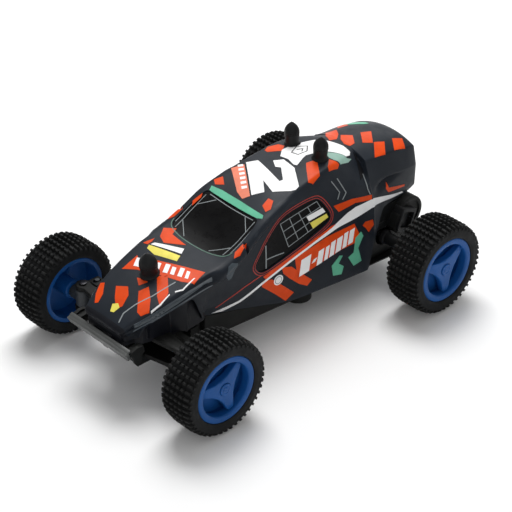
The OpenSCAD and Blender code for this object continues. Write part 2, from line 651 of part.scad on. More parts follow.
// =====================================================================
// Drive
// =====================================================================
module rear_axle() color(steel) xcyl(axle_r, -xr + 2.7, xr - 2.7, yr, axle_z);
module axle_nuts() color(steel) both() difference() {
  translate([xr - 4.1, yr, axle_z]) rotate([0, 90, 0])
    cylinder(r = 3, h = 1.4, $fn = 6);
  xcyl(axle_r, xr - 6, xr, yr, axle_z);
}
module axle_gear() color("#e8e4d8") difference() {
  union() {
    xgear(axle_teeth, ang_ar, -9.3, -5.4, yr, axle_z);
    xcyl(2.35, -10.3, -1.4, yr, axle_z);
  }
  xcyl(axle_r, -12, 0, yr, axle_z);
}
module reduction_gear() color("#e8e4d8") difference() {
  union() {
    // small wheel: a gap faces the axle gear
    xgear(pinion_teeth, ang_ar + 180 + 180 / pinion_teeth, -9.8, -4.5, red_y, red_z);
    xgear(reduction_teeth, ang_rm, -4.6, -1.7, red_y, red_z);
  }
  xcyl(1 + run, -12, 0, red_y, red_z);
}
module reduction_shaft() color(steel) xcyl(1, -11.6, -0.2, red_y, red_z);
module drive_pinion() color("#c9a24a") {
  xgear(pinion_teeth, ang_rm + 180 + 180 / pinion_teeth, -5.2, -1.4, mot_y, mot_z);
  xcyl(1, -5.8, 4, mot_y, mot_z);
}
module drive_motor() color(steel) difference() {
  union() {
    translate([0.5, mot_y, mot_z]) rotate([0, 90, 0]) rotate([0, 0, 90])
      can(7.7, 6, 20);
    xcyl(2.95, -0.8, 1, mot_y, mot_z);
  }
  xcyl(1 + run, -3, 4.6, mot_y, mot_z);
}
module train_plan(d) translate([0, 0]) hull() {
  translate([yr, axle_z]) circle(r = 9.7 + d);
  translate([red_y, red_z]) circle(r = 9 + d);
  translate([mot_y, mot_z]) circle(r = 5.2 + d);
}
module yz(x0, x1) translate([x0, 0, 0]) rotate([90, 0, 90])
  linear_extrude(x1 - x0) children();
gscrew = [[yr - 6.8, axle_z + 7.6], [yr + 8.3, axle_z - 8.3]];
module gearbox_case() color("#2a2a2a") difference() {
  union() {
    yz(-12, -1) train_plan(0);
    xcyl(4.6, -16, -11.9, yr, axle_z);
    for (p = gscrew) xcyl(2, -12, -1, p[0], p[1]);
    box(-12, -1, yr - 8, yr + 8.4, 13.1, axle_z - 6.8);
  }
  yz(-10.6, 0) train_plan(-1.3);
  xcyl(2.6, -17, -10, yr, axle_z);
  xcyl(1, -11.6, -10, red_y, red_z);
  for (p = gscrew) xcyl(0.85, -11, 0, p[0], p[1]);
}
module gearbox_cover() color("#2a2a2a") difference() {
  union() {
    yz(-1, 0.4) train_plan(0);
    for (p = gscrew) xcyl(2, -1, 0.4, p[0], p[1]);
    box(-1, 0.4, yr + 3, yr + 8.3, 15.2, 18.4);
    // left bearing arm
    yz(12, 14.2) hull() {
      translate([yr, axle_z]) circle(r = 5);
      translate([yr, 16]) square([12, 2], center = true);
    }
    xcyl(4.6, 12, 16, yr, axle_z);
    box(0, 14.2, yr - 6, yr + 6, 15, 16.6);
  }
  xcyl(2.6, 11, 17, yr, axle_z);
  xcyl(axle_r + 0.5, -2, 12, yr, axle_z);
  xcyl(1, -2, 0, red_y, red_z);
  xcyl(3.05, -2, 2, mot_y, mot_z);
  for (p = gscrew) xcyl(0.95, -2, 2, p[0], p[1]);
}
module axle_bushes() color("#c9a24a") {
  difference() {
    xcyl(2.6, -16, -10.7, yr, axle_z);
    xcyl(axle_r + run, -20, 0, yr, axle_z);
  }
  difference() {
    xcyl(2.6, 12, 16, yr, axle_z);
    xcyl(axle_r + run, 0, 20, yr, axle_z);
  }
}
module gearbox_screws() color(steel) for (p = gscrew) {
  xcyl(0.8, -8, 0.5, p[0], p[1]);
  xcyl(1.6, 0.45, 1.5, p[0], p[1]);
}
// black cover over the gearbox and the motor drum
hs_w = 22.3;
module rear_housing() {
  drum_r = 9.1;
  color(black) difference() {
    union() {
      yz(-hs_w, hs_w) polygon([[61, 13.6], [86, 13.6], [96, 24.5], [99, 31],
        [mot_y, mot_z + drum_r - 0.3], [72, mot_z + drum_r - 0.3],
        [65.5, 38], [61, 27]]);
      xcyl(drum_r, -14.5, 26, mot_y, mot_z);
      // square socket brackets beside the drum
      both() translate([hs_w - 1, 84.3, 30]) rotate([-24, 0, 0])
        translate([0, -6, -5.2]) difference() {
          cube([6.2, 12, 10.4]);
          translate([2.4, 3.6, 1.8]) cube([10, 6.4, 6.8]);
        }
    }
    difference() {
      yz(-hs_w + 1.4, hs_w - 1.4) polygon([[62.4, 5], [85, 5], [85.4, 15],
        [94.7, 25.2], [97.3, 31], [mot_y - 2, 41.9], [72.6, 41.9], [66.6, 37],
        [62.4, 26.6]]);
      both() zcyl(3.2, 18, 66, 10, 30);
    }
    xcyl(drum_r - 1.3, -13.2, 24.7, mot_y, mot_z);
    // axle passes through both walls
    both() {
      xcyl(5.2, 10, 40, yr, axle_z);
      zcyl(1.1, 18, 66, 10, 24);
    }
    // drum end step
    difference() {
      xcyl(6.8, 25.2, 30, mot_y, mot_z);
      xcyl(2.4, 20, 28, mot_y, mot_z);
    }
  }
  // lens-shaped ribs over the side walls
  color(black) both() for (z = [30, 34]) box(hs_w - 0.1, hs_w + 0.7, 67, 76, z, z + 1.2);
}
module wire(pts, r) {
  for (i = [0:len(pts) - 2]) let (a = pts[i], b = pts[i + 1], d = b - a)
    translate(a) rotate([0, acos(d[2] / norm(d)), atan2(d[1], d[0])])
      cylinder(r = r, h = norm(d));
  for (p = pts) translate(p) sphere(r = r * 1.3);
}
module lead(a, b) let (d = b - a)
  translate(a) rotate([0, acos(d[2] / norm(d)), atan2(d[1], d[0])])
    cylinder(r = 0.5, h = norm(d));
module motor_wires() {
  color("#b03026") {
    lead([3, 33, 48.2], [5, 59, 50.4]);
    lead([3, -6, 48.2], [5, -32, 50]);
  }
  color("#20242a") {
    lead([-3, 33, 48.2], [-5, 59, 50.4]);
    lead([-3, -6, 48.2], [-5, -32, 50]);
  }
}
module antenna_wire() color("#1d1d1d")
  wire([[8, 34.5, 47.9], [11, 44, 52], [11, 58, 55], [6, 80, 54], [-6, 84, 54],
    [-11, 58, 55], [-13, 20, 56], [-11, -8, 54]], 0.5);

body_shell();
windscreen();
side_window_left();
side_window_right();
bonnet_post();
roof_post_left();
roof_post_right();
body_screws();
chassis_tub();
front_bumper();
front_carrier();
steering_cover();
steering_plate();
steering_screws();
steering_motor();
steering_pinion();
steering_gear();
steering_gear_shaft();
steering_rack();
centring_spring();
trim_lever();
kingpins();
knuckle_left();
knuckle_right();
stub_axle_left();
stub_axle_right();
front_rim_left();
front_rim_right();
front_tyre_left();
front_tyre_right();
front_hub_cap_left();
front_hub_cap_right();
rear_rim_left();
rear_rim_right();
rear_tyre_left();
rear_tyre_right();
rear_hub_caps();
rear_axle();
axle_nuts();
axle_gear();
axle_bushes();
reduction_gear();
reduction_shaft();
drive_motor();
drive_pinion();
gearbox_case();
gearbox_cover();
gearbox_screws();
rear_housing();
circuit_board();
board_components();
battery_cells();
battery_contacts();
battery_door();
door_screw();
power_switch();
switch_slider();
motor_wires();
antenna_wire();
carrier_screws();
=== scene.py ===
import json
import math
import bpy
import bmesh
import numpy as np
from mathutils import Matrix, Vector
from mathutils.bvhtree import BVHTree
from mathutils.geometry import tessellate_polygon


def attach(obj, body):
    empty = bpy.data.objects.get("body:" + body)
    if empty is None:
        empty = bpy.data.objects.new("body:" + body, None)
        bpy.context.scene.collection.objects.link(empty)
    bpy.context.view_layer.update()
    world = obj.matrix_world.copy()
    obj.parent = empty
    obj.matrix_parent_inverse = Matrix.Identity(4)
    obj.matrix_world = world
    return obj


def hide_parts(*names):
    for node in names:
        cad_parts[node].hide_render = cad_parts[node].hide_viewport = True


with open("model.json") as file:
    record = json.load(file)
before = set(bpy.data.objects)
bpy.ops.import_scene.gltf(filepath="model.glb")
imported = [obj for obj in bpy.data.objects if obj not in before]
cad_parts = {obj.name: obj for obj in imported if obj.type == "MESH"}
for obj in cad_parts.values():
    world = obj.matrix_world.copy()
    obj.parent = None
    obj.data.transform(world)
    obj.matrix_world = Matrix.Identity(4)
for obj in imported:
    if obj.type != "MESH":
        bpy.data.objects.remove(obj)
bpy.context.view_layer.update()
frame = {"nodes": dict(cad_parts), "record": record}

MM = 0.001
scene = bpy.context.scene
NODES = frame["nodes"]
BODY = {n: b for b, ns in frame["record"]["behaviour"]["bodies"].items() for n in ns}
SLOT = {s["node"]: s["material_slot"] for s in frame["record"]["subparts"]}


# ---------------------------------------------------------------- materials
def lin(r, g, b):
    """sRGB 0-255 to linear."""
    return tuple(((c / 255) / 12.92 if c / 255 <= 0.04045 else ((c / 255 + 0.055) / 1.055) ** 2.4) for c in (r, g, b))


class Mat:
    """A small wrapper that wires procedural nodes on the object's own coordinates."""
    def __init__(self, name):
        self.m = bpy.data.materials.new(name)
        self.m.use_nodes = True
        self.t = self.m.node_tree
        self.b = self.t.nodes["Principled BSDF"]
        self.co = self.t.nodes.new("ShaderNodeTexCoord").outputs["Object"]

    def node(self, kind, **kw):
        n = self.t.nodes.new(kind)
        for k, v in kw.items():
            if k in n.inputs:
                n.inputs[k].default_value = v
            else:
                setattr(n, k, v)
        return n

    def link(self, a, b):
        self.t.links.new(a, b)

    def noise(self, scale, detail=3.0, rough=0.55, stretch=None):
        n = self.node("ShaderNodeTexNoise")
        n.inputs["Scale"].default_value = scale
        n.inputs["Detail"].default_value = detail
        n.inputs["Roughness"].default_value = rough
        if stretch:
            mp = self.node("ShaderNodeMapping")
            mp.inputs["Scale"].default_value = stretch
            self.link(self.co, mp.inputs["Vector"])
            self.link(mp.outputs[0], n.inputs["Vector"])
        else:
            self.link(self.co, n.inputs["Vector"])
        return n.outputs["Fac"]

    def voronoi(self, scale):
        n = self.node("ShaderNodeTexVoronoi")
        n.inputs["Scale"].default_value = scale
        self.link(self.co, n.inputs["Vector"])
        return n.outputs["Distance"]

    def ramp(self, fac, lo, hi, a=0.35, b=0.65):
        r = self.node("ShaderNodeMapRange")
        r.inputs["From Min"].default_value = a
        r.inputs["From Max"].default_value = b
        r.inputs["To Min"].default_value = lo
        r.inputs["To Max"].default_value = hi
        self.link(fac, r.inputs["Value"])
        return r.outputs["Result"]

    def mix(self, fac, a, b):
        n = self.node("ShaderNodeMix")
        n.data_type = "RGBA"
        if isinstance(fac, float):
            n.inputs[0].default_value = fac
        else:
            self.link(fac, n.inputs[0])
        for i, v in ((6, a), (7, b)):
            if isinstance(v, tuple):
                n.inputs[i].default_value = (*v, 1)
            else:
                self.link(v, n.inputs[i])
        return n.outputs[2]

    def bump(self, height, strength, dist, normal=None):
        n = self.node("ShaderNodeBump")
        n.inputs["Strength"].default_value = strength
        n.inputs["Distance"].default_value = dist
        self.link(height, n.inputs["Height"])
        if normal is not None:
            self.link(normal, n.inputs["Normal"])
        return n.outputs["Normal"]

    def done(self, color=None, rough=None, normal=None, **kw):
        for sock, v in (("Base Color", color), ("Roughness", rough), ("Normal", normal)):
            if v is None:
                continue
            if isinstance(v, tuple):
                self.b.inputs[sock].default_value = (*v, 1)
            elif isinstance(v, float):
                self.b.inputs[sock].default_value = v
            else:
                self.link(v, self.b.inputs[sock])
        for k, v in kw.items():
            self.b.inputs[k.replace("_", " ")].default_value = v
        return self.m


def plastic(name, col, vary=0.25, rough=(0.35, 0.5), grain=2600, grain_h=0.00002, coat=0.0, spec=0.5,
            mottle=60, wear_and_highlight=0.0, speck=0.0):
    """Moulded plastic: slow colour drift, fine moulded grain, uneven gloss, paler convex edges that are partly wear and
    partly a painted edge highlight.
    """
    m = Mat(name)
    dark = tuple(c * (1 - vary) for c in col)
    lite = tuple(min(c * (1 + vary) + 0.002, 1) for c in col)
    base = m.mix(m.ramp(m.noise(mottle, 4), 0, 1), dark, lite)
    if speck:
        base = m.mix(m.ramp(m.noise(grain * 0.35, 2), 0, speck, 0.62, 0.72), base, tuple(min(c * 2.2 + 0.03, 1) for c in col))
    # paler convex edges: partly rubbed wear, partly a painted edge highlight
    if wear_and_highlight:
        geo = m.node("ShaderNodeNewGeometry")
        base = m.mix(m.ramp(geo.outputs["Pointiness"], 0, wear_and_highlight, 0.52, 0.6), base, tuple(min(c * 1.8 + 0.03, 1) for c in col))
    r1 = m.ramp(m.noise(190, 5, 0.65), rough[0], rough[1])
    n1 = m.bump(m.noise(grain, 2), 0.5, grain_h)
    n2 = m.bump(m.noise(90, 2), 0.25, 0.00006, n1)
    return m.done(base, r1, n2, Coat_Weight=coat, Coat_Roughness=0.12, Specular_IOR_Level=spec)


def metal(name, col, rough=(0.22, 0.4), stretch=(1, 30, 30), scale=900):
    m = Mat(name)
    n = m.noise(scale, 3, 0.6, stretch)
    base = m.mix(m.ramp(n, 0, 1), tuple(c * 0.75 for c in col), col)
    smear = m.noise(120, 4)
    base = m.mix(m.ramp(smear, 0, 0.35, 0.5, 0.75), base, tuple(c * 0.5 for c in col))
    return m.done(base, m.ramp(n, rough[0], rough[1]), m.bump(n, 0.3, 0.00001), Metallic=1.0)


SHELL = plastic("shell", lin(30, 35, 42), 0.12, (0.34, 0.48), 2300, 0.000010, coat=0.0, spec=0.13, mottle=35, wear_and_highlight=0.22)
# pale grey used for the painted highlight strips on the bonnet's sides
CREASE_PAINTED_HIGHLIGHT = plastic("painted_highlight_shell_crease", lin(84, 92, 98), 0.10, (0.3, 0.42), 2300, 0.000010, coat=0.1, spec=0.4, mottle=60)
GLASS = plastic("window_panel", lin(9, 9, 10), 0.25, (0.24, 0.36), 1700, 0.000006, coat=0.0, spec=0.07, mottle=40)
BLACK = plastic("chassis_black", lin(17, 18, 17), 0.2, (0.46, 0.62), 2100, 0.00004, spec=0.14, wear_and_highlight=0.2, speck=0.05)
DARK2 = plastic("housing_black", lin(22, 23, 24), 0.2, (0.4, 0.56), 1800, 0.00005, spec=0.16, wear_and_highlight=0.2, speck=0.05)
BUMP = plastic("bumper_grey", lin(62, 64, 63), 0.18, (0.4, 0.56), 1900, 0.00004, spec=0.5, wear_and_highlight=0.25, speck=0.08)
COVER = plastic("cover_navy", lin(12, 14, 21), 0.2, (0.36, 0.5), 1900, 0.00003, spec=0.14, wear_and_highlight=0.2)
GREY = plastic("link_grey", lin(52, 56, 60), 0.15, (0.42, 0.56), 1900, 0.00004, spec=0.35, wear_and_highlight=0.2)
RIM = plastic("rim_blue", lin(15, 74, 138), 0.1, (0.36, 0.48), 1500, 0.000008, coat=0.0, spec=0.18, mottle=50, wear_and_highlight=0.1)
NYLON = plastic("gear_nylon", lin(222, 216, 198), 0.06, (0.4, 0.55), 1500, 0.00002, spec=0.5)
BOARD = plastic("board_green", lin(38, 92, 48), 0.2, (0.25, 0.4), 900, 0.00002, coat=0.3)
CHIP = plastic("chip_black", lin(28, 28, 30), 0.2, (0.4, 0.6), 1500, 0.00002)
CELL = plastic("cell_wrap", lin(190, 150, 60), 0.12, (0.22, 0.35), 900, 0.00001, coat=0.4)
WIRE = plastic("wire_red", lin(150, 40, 34), 0.15, (0.4, 0.55), 1500, 0.00002)
SLEEVE = plastic("sleeve_black", lin(26, 26, 27), 0.2, (0.45, 0.6), 1500, 0.00002)
STEEL = metal("steel", (0.62, 0.63, 0.65))
BRASS = metal("brass", (0.78, 0.57, 0.25))
SCREW = metal("screw_black", (0.05, 0.05, 0.055), (0.3, 0.45))


def rubber(name):
    """Lugged tyre rubber: dull, with fine dusty flecks, a painted highlight on the lug edges and painted shade in the
    grooves.
    """
    m = Mat(name)
    base = m.mix(m.ramp(m.noise(70, 5), 0, 1), lin(22, 23, 24), lin(31, 32, 33))
    base = m.mix(m.ramp(m.noise(1400, 2), 0, 0.3, 0.55, 0.75), base, lin(44, 43, 41))
    geo = m.node("ShaderNodeNewGeometry")
    # painted highlight: convex lug edges made paler
    base = m.mix(m.ramp(geo.outputs["Pointiness"], 0, 0.25, 0.5, 0.6), base, lin(42, 42, 40))
    # painted shade: grooves and hollows made near black
    base = m.mix(m.ramp(geo.outputs["Pointiness"], 0.5, 0, 0.38, 0.48), base, lin(9, 9, 9))
    return m.done(base, m.ramp(m.noise(260, 4), 0.58, 0.76), m.bump(m.noise(2200, 3), 0.6, 0.00003),
                  Specular_IOR_Level=0.12)


RUBBER = rubber("tyre_rubber")


def ink(name, col, vary=0.08, rough=(0.28, 0.4)):
    """Printed film: faint ink mottle and a fine dot pattern, with an uneven gloss."""
    m = Mat(name)
    base = m.mix(m.ramp(m.noise(140, 4), 0, 1), tuple(c * (1 - vary) for c in col), tuple(min(c * (1 + vary), 1) for c in col))
    base = m.mix(m.ramp(m.voronoi(2600), 0.10, 0, 0.0, 0.35), base, tuple(min(c * 0.7, 1) for c in col))
    return m.done(base, m.ramp(m.noise(220, 4), rough[0], rough[1]), m.bump(m.noise(2600, 2), 0.4, 0.000008),
                  Specular_IOR_Level=0.12)


ORANGE = ink("ink_orange", lin(214, 70, 18))
SALMON = ink("ink_salmon", lin(226, 130, 104))
WHITE = ink("ink_white", lin(240, 240, 240), 0.03)
TEAL = ink("ink_teal", lin(96, 176, 144))
DASH = ink("ink_dash_green", lin(96, 128, 112))
TEAL2 = ink("ink_pale_teal", lin(140, 172, 160))
PALE = ink("ink_pale", lin(142, 148, 150))
RED = ink("ink_red", lin(176, 62, 52))
LOBE_PAINTED_HIGHLIGHT = ink("lobe_painted_highlight_grey", lin(74, 82, 88))
# grey for the painted highlight on the pillar's lower lobe
YELLOW = ink("ink_yellow", lin(226, 214, 96))
# black ink for print, also used for the painted shade crescent at the roof step
INK_BLACK_AND_SHADE = ink("ink_black_and_painted_shade", lin(24, 24, 26), 0.2)
BY_SLOT = {"shell_plastic": SHELL, "window_black": GLASS, "black_plastic": BLACK, "bumper_plastic": BUMP,
           "cover_plastic": COVER, "knuckle_plastic": GREY, "rim_plastic": RIM, "tyre_rubber": RUBBER,
           "steel": STEEL, "gear_nylon": NYLON, "brass": BRASS, "board_green": BOARD, "chip_black": CHIP,
           "cell_wrap": CELL, "wire_sleeve": WIRE, "antenna_sleeve": SLEEVE}


# ---------------------------------------------------------------- mesh tools
def finish_mesh(me, angle=34):
    me.polygons.foreach_set("use_smooth", [True] * len(me.polygons))
    me.set_sharp_from_angle(angle=math.radians(angle))
    me.update()


def make(name, V, F, mat, body, angle=34, stands_for=(), slot=None, fix=True):
    """A new piece from millimetre vertices."""
    me = bpy.data.meshes.new(name)
    me.from_pydata([tuple(float(c) * MM for c in v) for v in V], [], [tuple(int(i) for i in f) for f in F])
    me.validate()
    if fix:
        bm = bmesh.new(); bm.from_mesh(me)
        bmesh.ops.remove_doubles(bm, verts=bm.verts, dist=1e-6)
        bmesh.ops.recalc_face_normals(bm, faces=bm.faces)
        bm.to_mesh(me); bm.free()
    me.materials.append(mat)
    finish_mesh(me, angle)
    ob = bpy.data.objects.new(name, me)
    scene.collection.objects.link(ob)
    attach(ob, body)
    if stands_for:
        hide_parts(*stands_for)
    return ob


def join_parts(parts):
    """(V, F) lists into one."""
    V, F = [], []
    for v, f in parts:
        o = len(V)
        V += [tuple(p) for p in v]
        F += [tuple(i + o for i in q) for q in f]
    return V, F


def lathe(profile, n=96, closed=True, axis="x", at=(0, 0, 0)):
    """Revolves (r, h) points about an axis; closed joins last to first."""
    V, F = [], []
    m = len(profile)
    for k in range(n):
        c, s = math.cos(2 * math.pi * k / n), math.sin(2 * math.pi * k / n)
        for r, h in profile:
            p = (h, r * c, r * s) if axis == "x" else (r * c, r * s, h)
            V.append((p[0] + at[0], p[1] + at[1], p[2] + at[2]))
    for k in range(n):
        a, b = k * m, ((k + 1) % n) * m
        for i in range(m if closed else m - 1):
            j = (i + 1) % m
            F.append((a + i, a + j, b + j, b + i))
    return V, F


def bevelled(bm, width, angle=30, seg=2):
    e = [x for x in bm.edges if x.is_manifold and x.calc_face_angle(0) > math.radians(angle)
         and x.calc_length() > 1.2 * width * MM]
    if e:
        bmesh.ops.bevel(bm, geom=e, offset=width * MM, offset_type="OFFSET", segments=seg, profile=0.5,
                        affect="EDGES", clamp_overlap=False)


def prism(poly, a, b, plane="yz"):
    """Closed prism of an outline given in a plane, from a to b along the other axis."""
    n = len(poly)
    def P(u, v, w):
        return {"yz": (w, u, v), "xy": (u, v, w), "xz": (u, w, v)}[plane]
    V = [P(u, v, a) for u, v in poly] + [P(u, v, b) for u, v in poly]
    F = [tuple(range(n))[::-1], tuple(range(n, 2 * n))]
    F += [(i, (i + 1) % n, (i + 1) % n + n, i + n) for i in range(n)]
    return V, F


def solid_piece(name, parts, mat, body, bevel=0.3, seg=2, stands_for=(), slot=None, angle=34, bevel_angle=30):
    V, F = join_parts(parts)
    ob = make(name, V, F, mat, body, angle, stands_for, slot)
    if bevel:
        bm = bmesh.new(); bm.from_mesh(ob.data)
        bevelled(bm, bevel, bevel_angle, seg)
        bm.to_mesh(ob.data); bm.free()
        finish_mesh(ob.data, angle)
    return ob


def refine(node, mat=None, width=0.22, seg=2, angle=30, dissolve=True):
    """A CAD node's own solid with softened edges and clean shading, standing for that node."""
    src = NODES[node]
    me = src.data.copy()
    me.name = "soft_" + node
    bm = bmesh.new(); bm.from_mesh(me)
    bmesh.ops.remove_doubles(bm, verts=bm.verts, dist=3e-6)
    if dissolve:
        bmesh.ops.dissolve_limit(bm, angle_limit=math.radians(0.6), verts=bm.verts, edges=bm.edges, use_dissolve_boundaries=False)
    if width:
        bevelled(bm, width, angle, seg)
    clean = bpy.data.meshes.new("soft_" + node)
    bm.to_mesh(clean); bm.free()
    clean.materials.append(mat or BY_SLOT[SLOT[node]])
    finish_mesh(clean, 34)
    ob = bpy.data.objects.new("soft_" + node, clean)
    scene.collection.objects.link(ob)
    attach(ob, BODY[node])
    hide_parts(node)
    return ob
# ---------------------------------------------------------------- body lines
# Each table is [y, value] in millimetres, nose to tail.
L_zc = [[-95,40.6],[-90,43.8],[-80,48.4],[-65,53.2],[-50,56.4],[-37,57.6],
  [-31,59.2],[-7.5,70.6],[8,76.2],[22,79],[40,81],[52,80.2],[62,78.2],
  [66,77.2],[80,75.8],[94,73.2],[100,71],[102.3,69.4]]
L_xa = [[-95,13],[-90,14.9],[-80,18],[-70,20.1],[-60,21.7],[-50,22.9],
  [-40,23.4],[-31,22.6],[-8,20.6],[8,20.2],[22,19.4],[38,18.2],[46,16.6],
  [52,14.6],[58,12.4],[62.6,10.8],[63.4,18.2],[80,18.4],[94,18.4],[102.3,17.6]]
L_za = [[-95,40.2],[-90,43.3],[-80,47.7],[-70,50.9],[-60,53.6],[-50,55.9],
  [-40,57.5],[-31,60.2],[-8,71],[8,75.4],[22,77.8],[38,79.3],[46,79],
  [52,78.2],[58,77],[62.6,75.8],[63.4,72.9],[80,71.2],[94,69],[99,67.8],[102.3,66.4]]
L_xb = [[-95,13.9],[-90,16],[-80,19.4],[-72,21.5],[-60,23],[-50,23.8],
  [-43,24.2],[-31,24.4],[-8,23],[8,22.2],[22,21.8],[38,22],[52,22.6],
  [62.6,23],[63.4,22.2],[80,21.8],[94,21.2],[102.3,20]]
L_zb = [[-95,36.8],[-90,38.8],[-80,42.4],[-72,44.9],[-60,47.2],[-50,48.8],
  [-43,49.6],[-31,53.5],[-8,66],[8,70.5],[22,71],[38,68],[52,64],[62.6,61],
  [63.4,61.4],[80,59.6],[94,58],[102.3,57]]
L_xs = [[-95,13.4],[-84.5,15.6],[-83.5,18.7],[-72,21.3],[-60,22.8],
  [-58,22.9],[-50,21.2],[-48.6,20.2],[-45.5,20],[-31,20.6],[-8,21.8],[8,23],[22,24.4],[38,25.6],
  [52,26.6],[62.6,26.6],[64,25.6],[80,23.5],[94,21.2],[102.3,20]]
L_zs = [[-95,35],[-84.5,36.6],[-83.5,40.7],[-72,44.5],[-60,46.8],
  [-58.6,47.1],[-50,33.4],[-48.6,33.6],[-45.5,33.8],[-31,33.5],[-12,32.4],[10,38.2],[33,43.6],
  [58,49.8],[75,49],[91,46.5],[102.3,48]]
L_xl = [[-95,12.8],[-84.5,14.6],[-83.5,18.5],[-72,21.1],[-60,22.6],
  [-58,22.7],[-50,20.8],[-48.6,17.2],[-45.5,16],[-31,17],[-8,20],[8,22.3],[22,24.2],[38,26],
  [52,27.4],[58,28],[62,27.6],[72,24.8],[80,23.2],[91,21],[102.3,20]]
L_zl = [[-95,33],[-84.5,33],[-83.5,40.3],[-72,44.1],[-60,46.4],[-58.6,46.6],
  [-50,31.4],[-48.6,28.0],[-45.5,27.4],[-31,24],[-8,18.6],[4,15.6],[12,14.6],[22,14.4],[58,13.8],
  [61.5,26],[66,36],[72,45],[91,43.6],[102.3,45.6]]
def pchip(table):
    """Monotone cubic through a table's points."""
    x, v = np.array(table, float).T
    h, d = np.diff(x), np.diff(v) / np.diff(x)
    m = np.zeros(len(x))
    for i in range(1, len(x) - 1):
        if d[i - 1] * d[i] > 0:
            w1, w2 = 2 * h[i] + h[i - 1], h[i] + 2 * h[i - 1]
            m[i] = (w1 + w2) / (w1 / d[i - 1] + w2 / d[i])
    m[0], m[-1] = d[0], d[-1]
    def f(q):
        q = min(max(q, x[0]), x[-1])
        i = min(int(np.searchsorted(x, q, "right")) - 1, len(x) - 2)
        t = (q - x[i]) / h[i]
        return ((1 + 2 * t) * (1 - t) ** 2 * v[i] + t * (1 - t) ** 2 * h[i] * m[i]
                + t * t * (3 - 2 * t) * v[i + 1] + t * t * (t - 1) * h[i] * m[i + 1])
    return f
ZC, XA, ZA, XB, ZB, XS, ZS, XL, ZL = [pchip(t) for t in
    (L_zc, L_xa, L_za, L_xb, L_zb, L_xs, L_zs, L_xl, L_zl)]
def sstep(a, b, x):
    t = min(max((x - a) / (b - a), 0.0), 1.0)
    return t * t * (3 - 2 * t)
def window(x, a, b, w):
    """1 between a and b, fading to 0 over w outside."""
    return sstep(a - w, a, x) * (1 - sstep(b, b + w, x))
def half_ring(y):
    """Outer half section, crown to lower edge: list of (x, z), always the same count."""
    C = np.array([0, ZC(y)]); A = np.array([XA(y), ZA(y)]); B = np.array([XB(y), ZB(y)])
    S = np.array([XS(y), ZS(y)]); Lp = np.array([XL(y), ZL(y)])
    pts = []
    def crown(t):
        return np.array([A[0] * t, A[1] + (C[1] - A[1]) * (1 - t ** 2.13)])
    def seg(P, Q, f):
        n = np.array([Q[1] - P[1], -(Q[0] - P[0])]); n = n / (np.linalg.norm(n) + 1e-9)
        if n[0] < 0: n = -n
        return lambda t: P + (Q - P) * t + n * f(t)
    # the pillar stands proud in two lobes with a notch between them
    up = window(y, -22.0, 4, 9) * (1 if y > -23.4 else 0)
    lowlobe = window(y, -40.0, -25.2, 1.6 if y > -30 else 8.5) * (1 if y < -23.6 else 0)
    amp = 2.0 * up * (1 - 0.75 * sstep(-16, 14, y)) + 2.3 * lowlobe
    amp *= 1.15
    hood = window(y, -90, -50, 5)
    def f2(t):
        s = math.sin(math.pi * min(max(t, 0), 1)) ** 0.6
        g = -0.95 * hood * math.exp(-((t - 0.60) / 0.10) ** 2) + 0.25 * hood * math.exp(-((t - 0.30) / 0.16) ** 2)
        return amp * s + g + 0.25 * window(y, 6, 60, 8) * s
    s2 = seg(A, B, f2)
    flank = window(y, -30, 50, 14)
    # a slanted fold on the side of the rear block
    def fold(t):
        if y < 65: return 0.0
        u = (y - 70) / 20 - (0.30 - t) / 0.6
        g = math.exp(-(u / 0.16) ** 2) if u < 0 else max(0.0, 1 - u / 0.62) ** 1.4
        return -1.5 * g * window(y, 71, 94, 6) * sstep(0, 0.08, t) * (1 - sstep(0.62, 0.95, t))
    s3 = seg(B, S, lambda t: 0.5 * flank * math.sin(math.pi * t) + fold(t))
    s4 = seg(S, Lp, lambda t: 0.35 * flank * math.sin(math.pi * t))
    lA, lB, lS = [float(np.linalg.norm(q - p)) for p, q in ((A, B), (B, S), (S, Lp))]
    soft = 1 - 0.62 * sstep(62.7, 63.3, y)
    rA = min(1.3 * soft, 0.3 * lA); rB = min(0.9 * soft, 0.3 * lA, 0.3 * lB); rS = min(0.8, 0.3 * lB, 0.3 * lS)
    tA = 1 - rA / max(A[0], 1)
    ts = np.linspace(0, 1, 17)
    for t in ts: pts.append(crown(t * tA))
    def fil(P0, P1, P2, n=4):
        for i in range(1, n):
            t = i / n
            pts.append(P0 * (1 - t) ** 2 + 2 * P1 * t * (1 - t) + P2 * t * t)
    a1 = rA / lA; b0 = 1 - rB / lA
    fil(crown(tA), A, s2(a1))
    for t in np.linspace(a1, b0, 15): pts.append(s2(t))
    c0 = rB / lB
    fil(s2(b0), B, s3(c0))
    d0 = 1 - rS / lB
    for t in np.linspace(c0, d0, 19): pts.append(s3(t))
    e0 = rS / lS
    fil(s3(d0), S, s4(e0))
    for t in np.linspace(e0, 1, 13): pts.append(s4(t))
    return np.array(pts)
def stations():
    ys = list(np.arange(-95, 102.31, 1.0)) + [102.3]
    ys += [-94.9, -94.7, -94.4, 102.2, 102.1, 101.9, 101.6, 101.3, 100.8, 100.3,
           -84.7, -84.5, -84.2, -83.8, -83.5, -83.2, -58.6, -58.3, -50.2, -49.8, -49.4, -49.0, -48.6, -48.2,
           62.4, 62.6, 62.8, 63.2, 63.4, 63.7, 61.5, -24.8, -24.3, -23.9, -23.6, -23.4, -23.1, -22.6]
    ys = sorted(set(round(float(q), 3) for q in ys))
    out = [ys[0]]
    for q in ys[1:]:
        if q - out[-1] > 0.09: out.append(q)
    return out
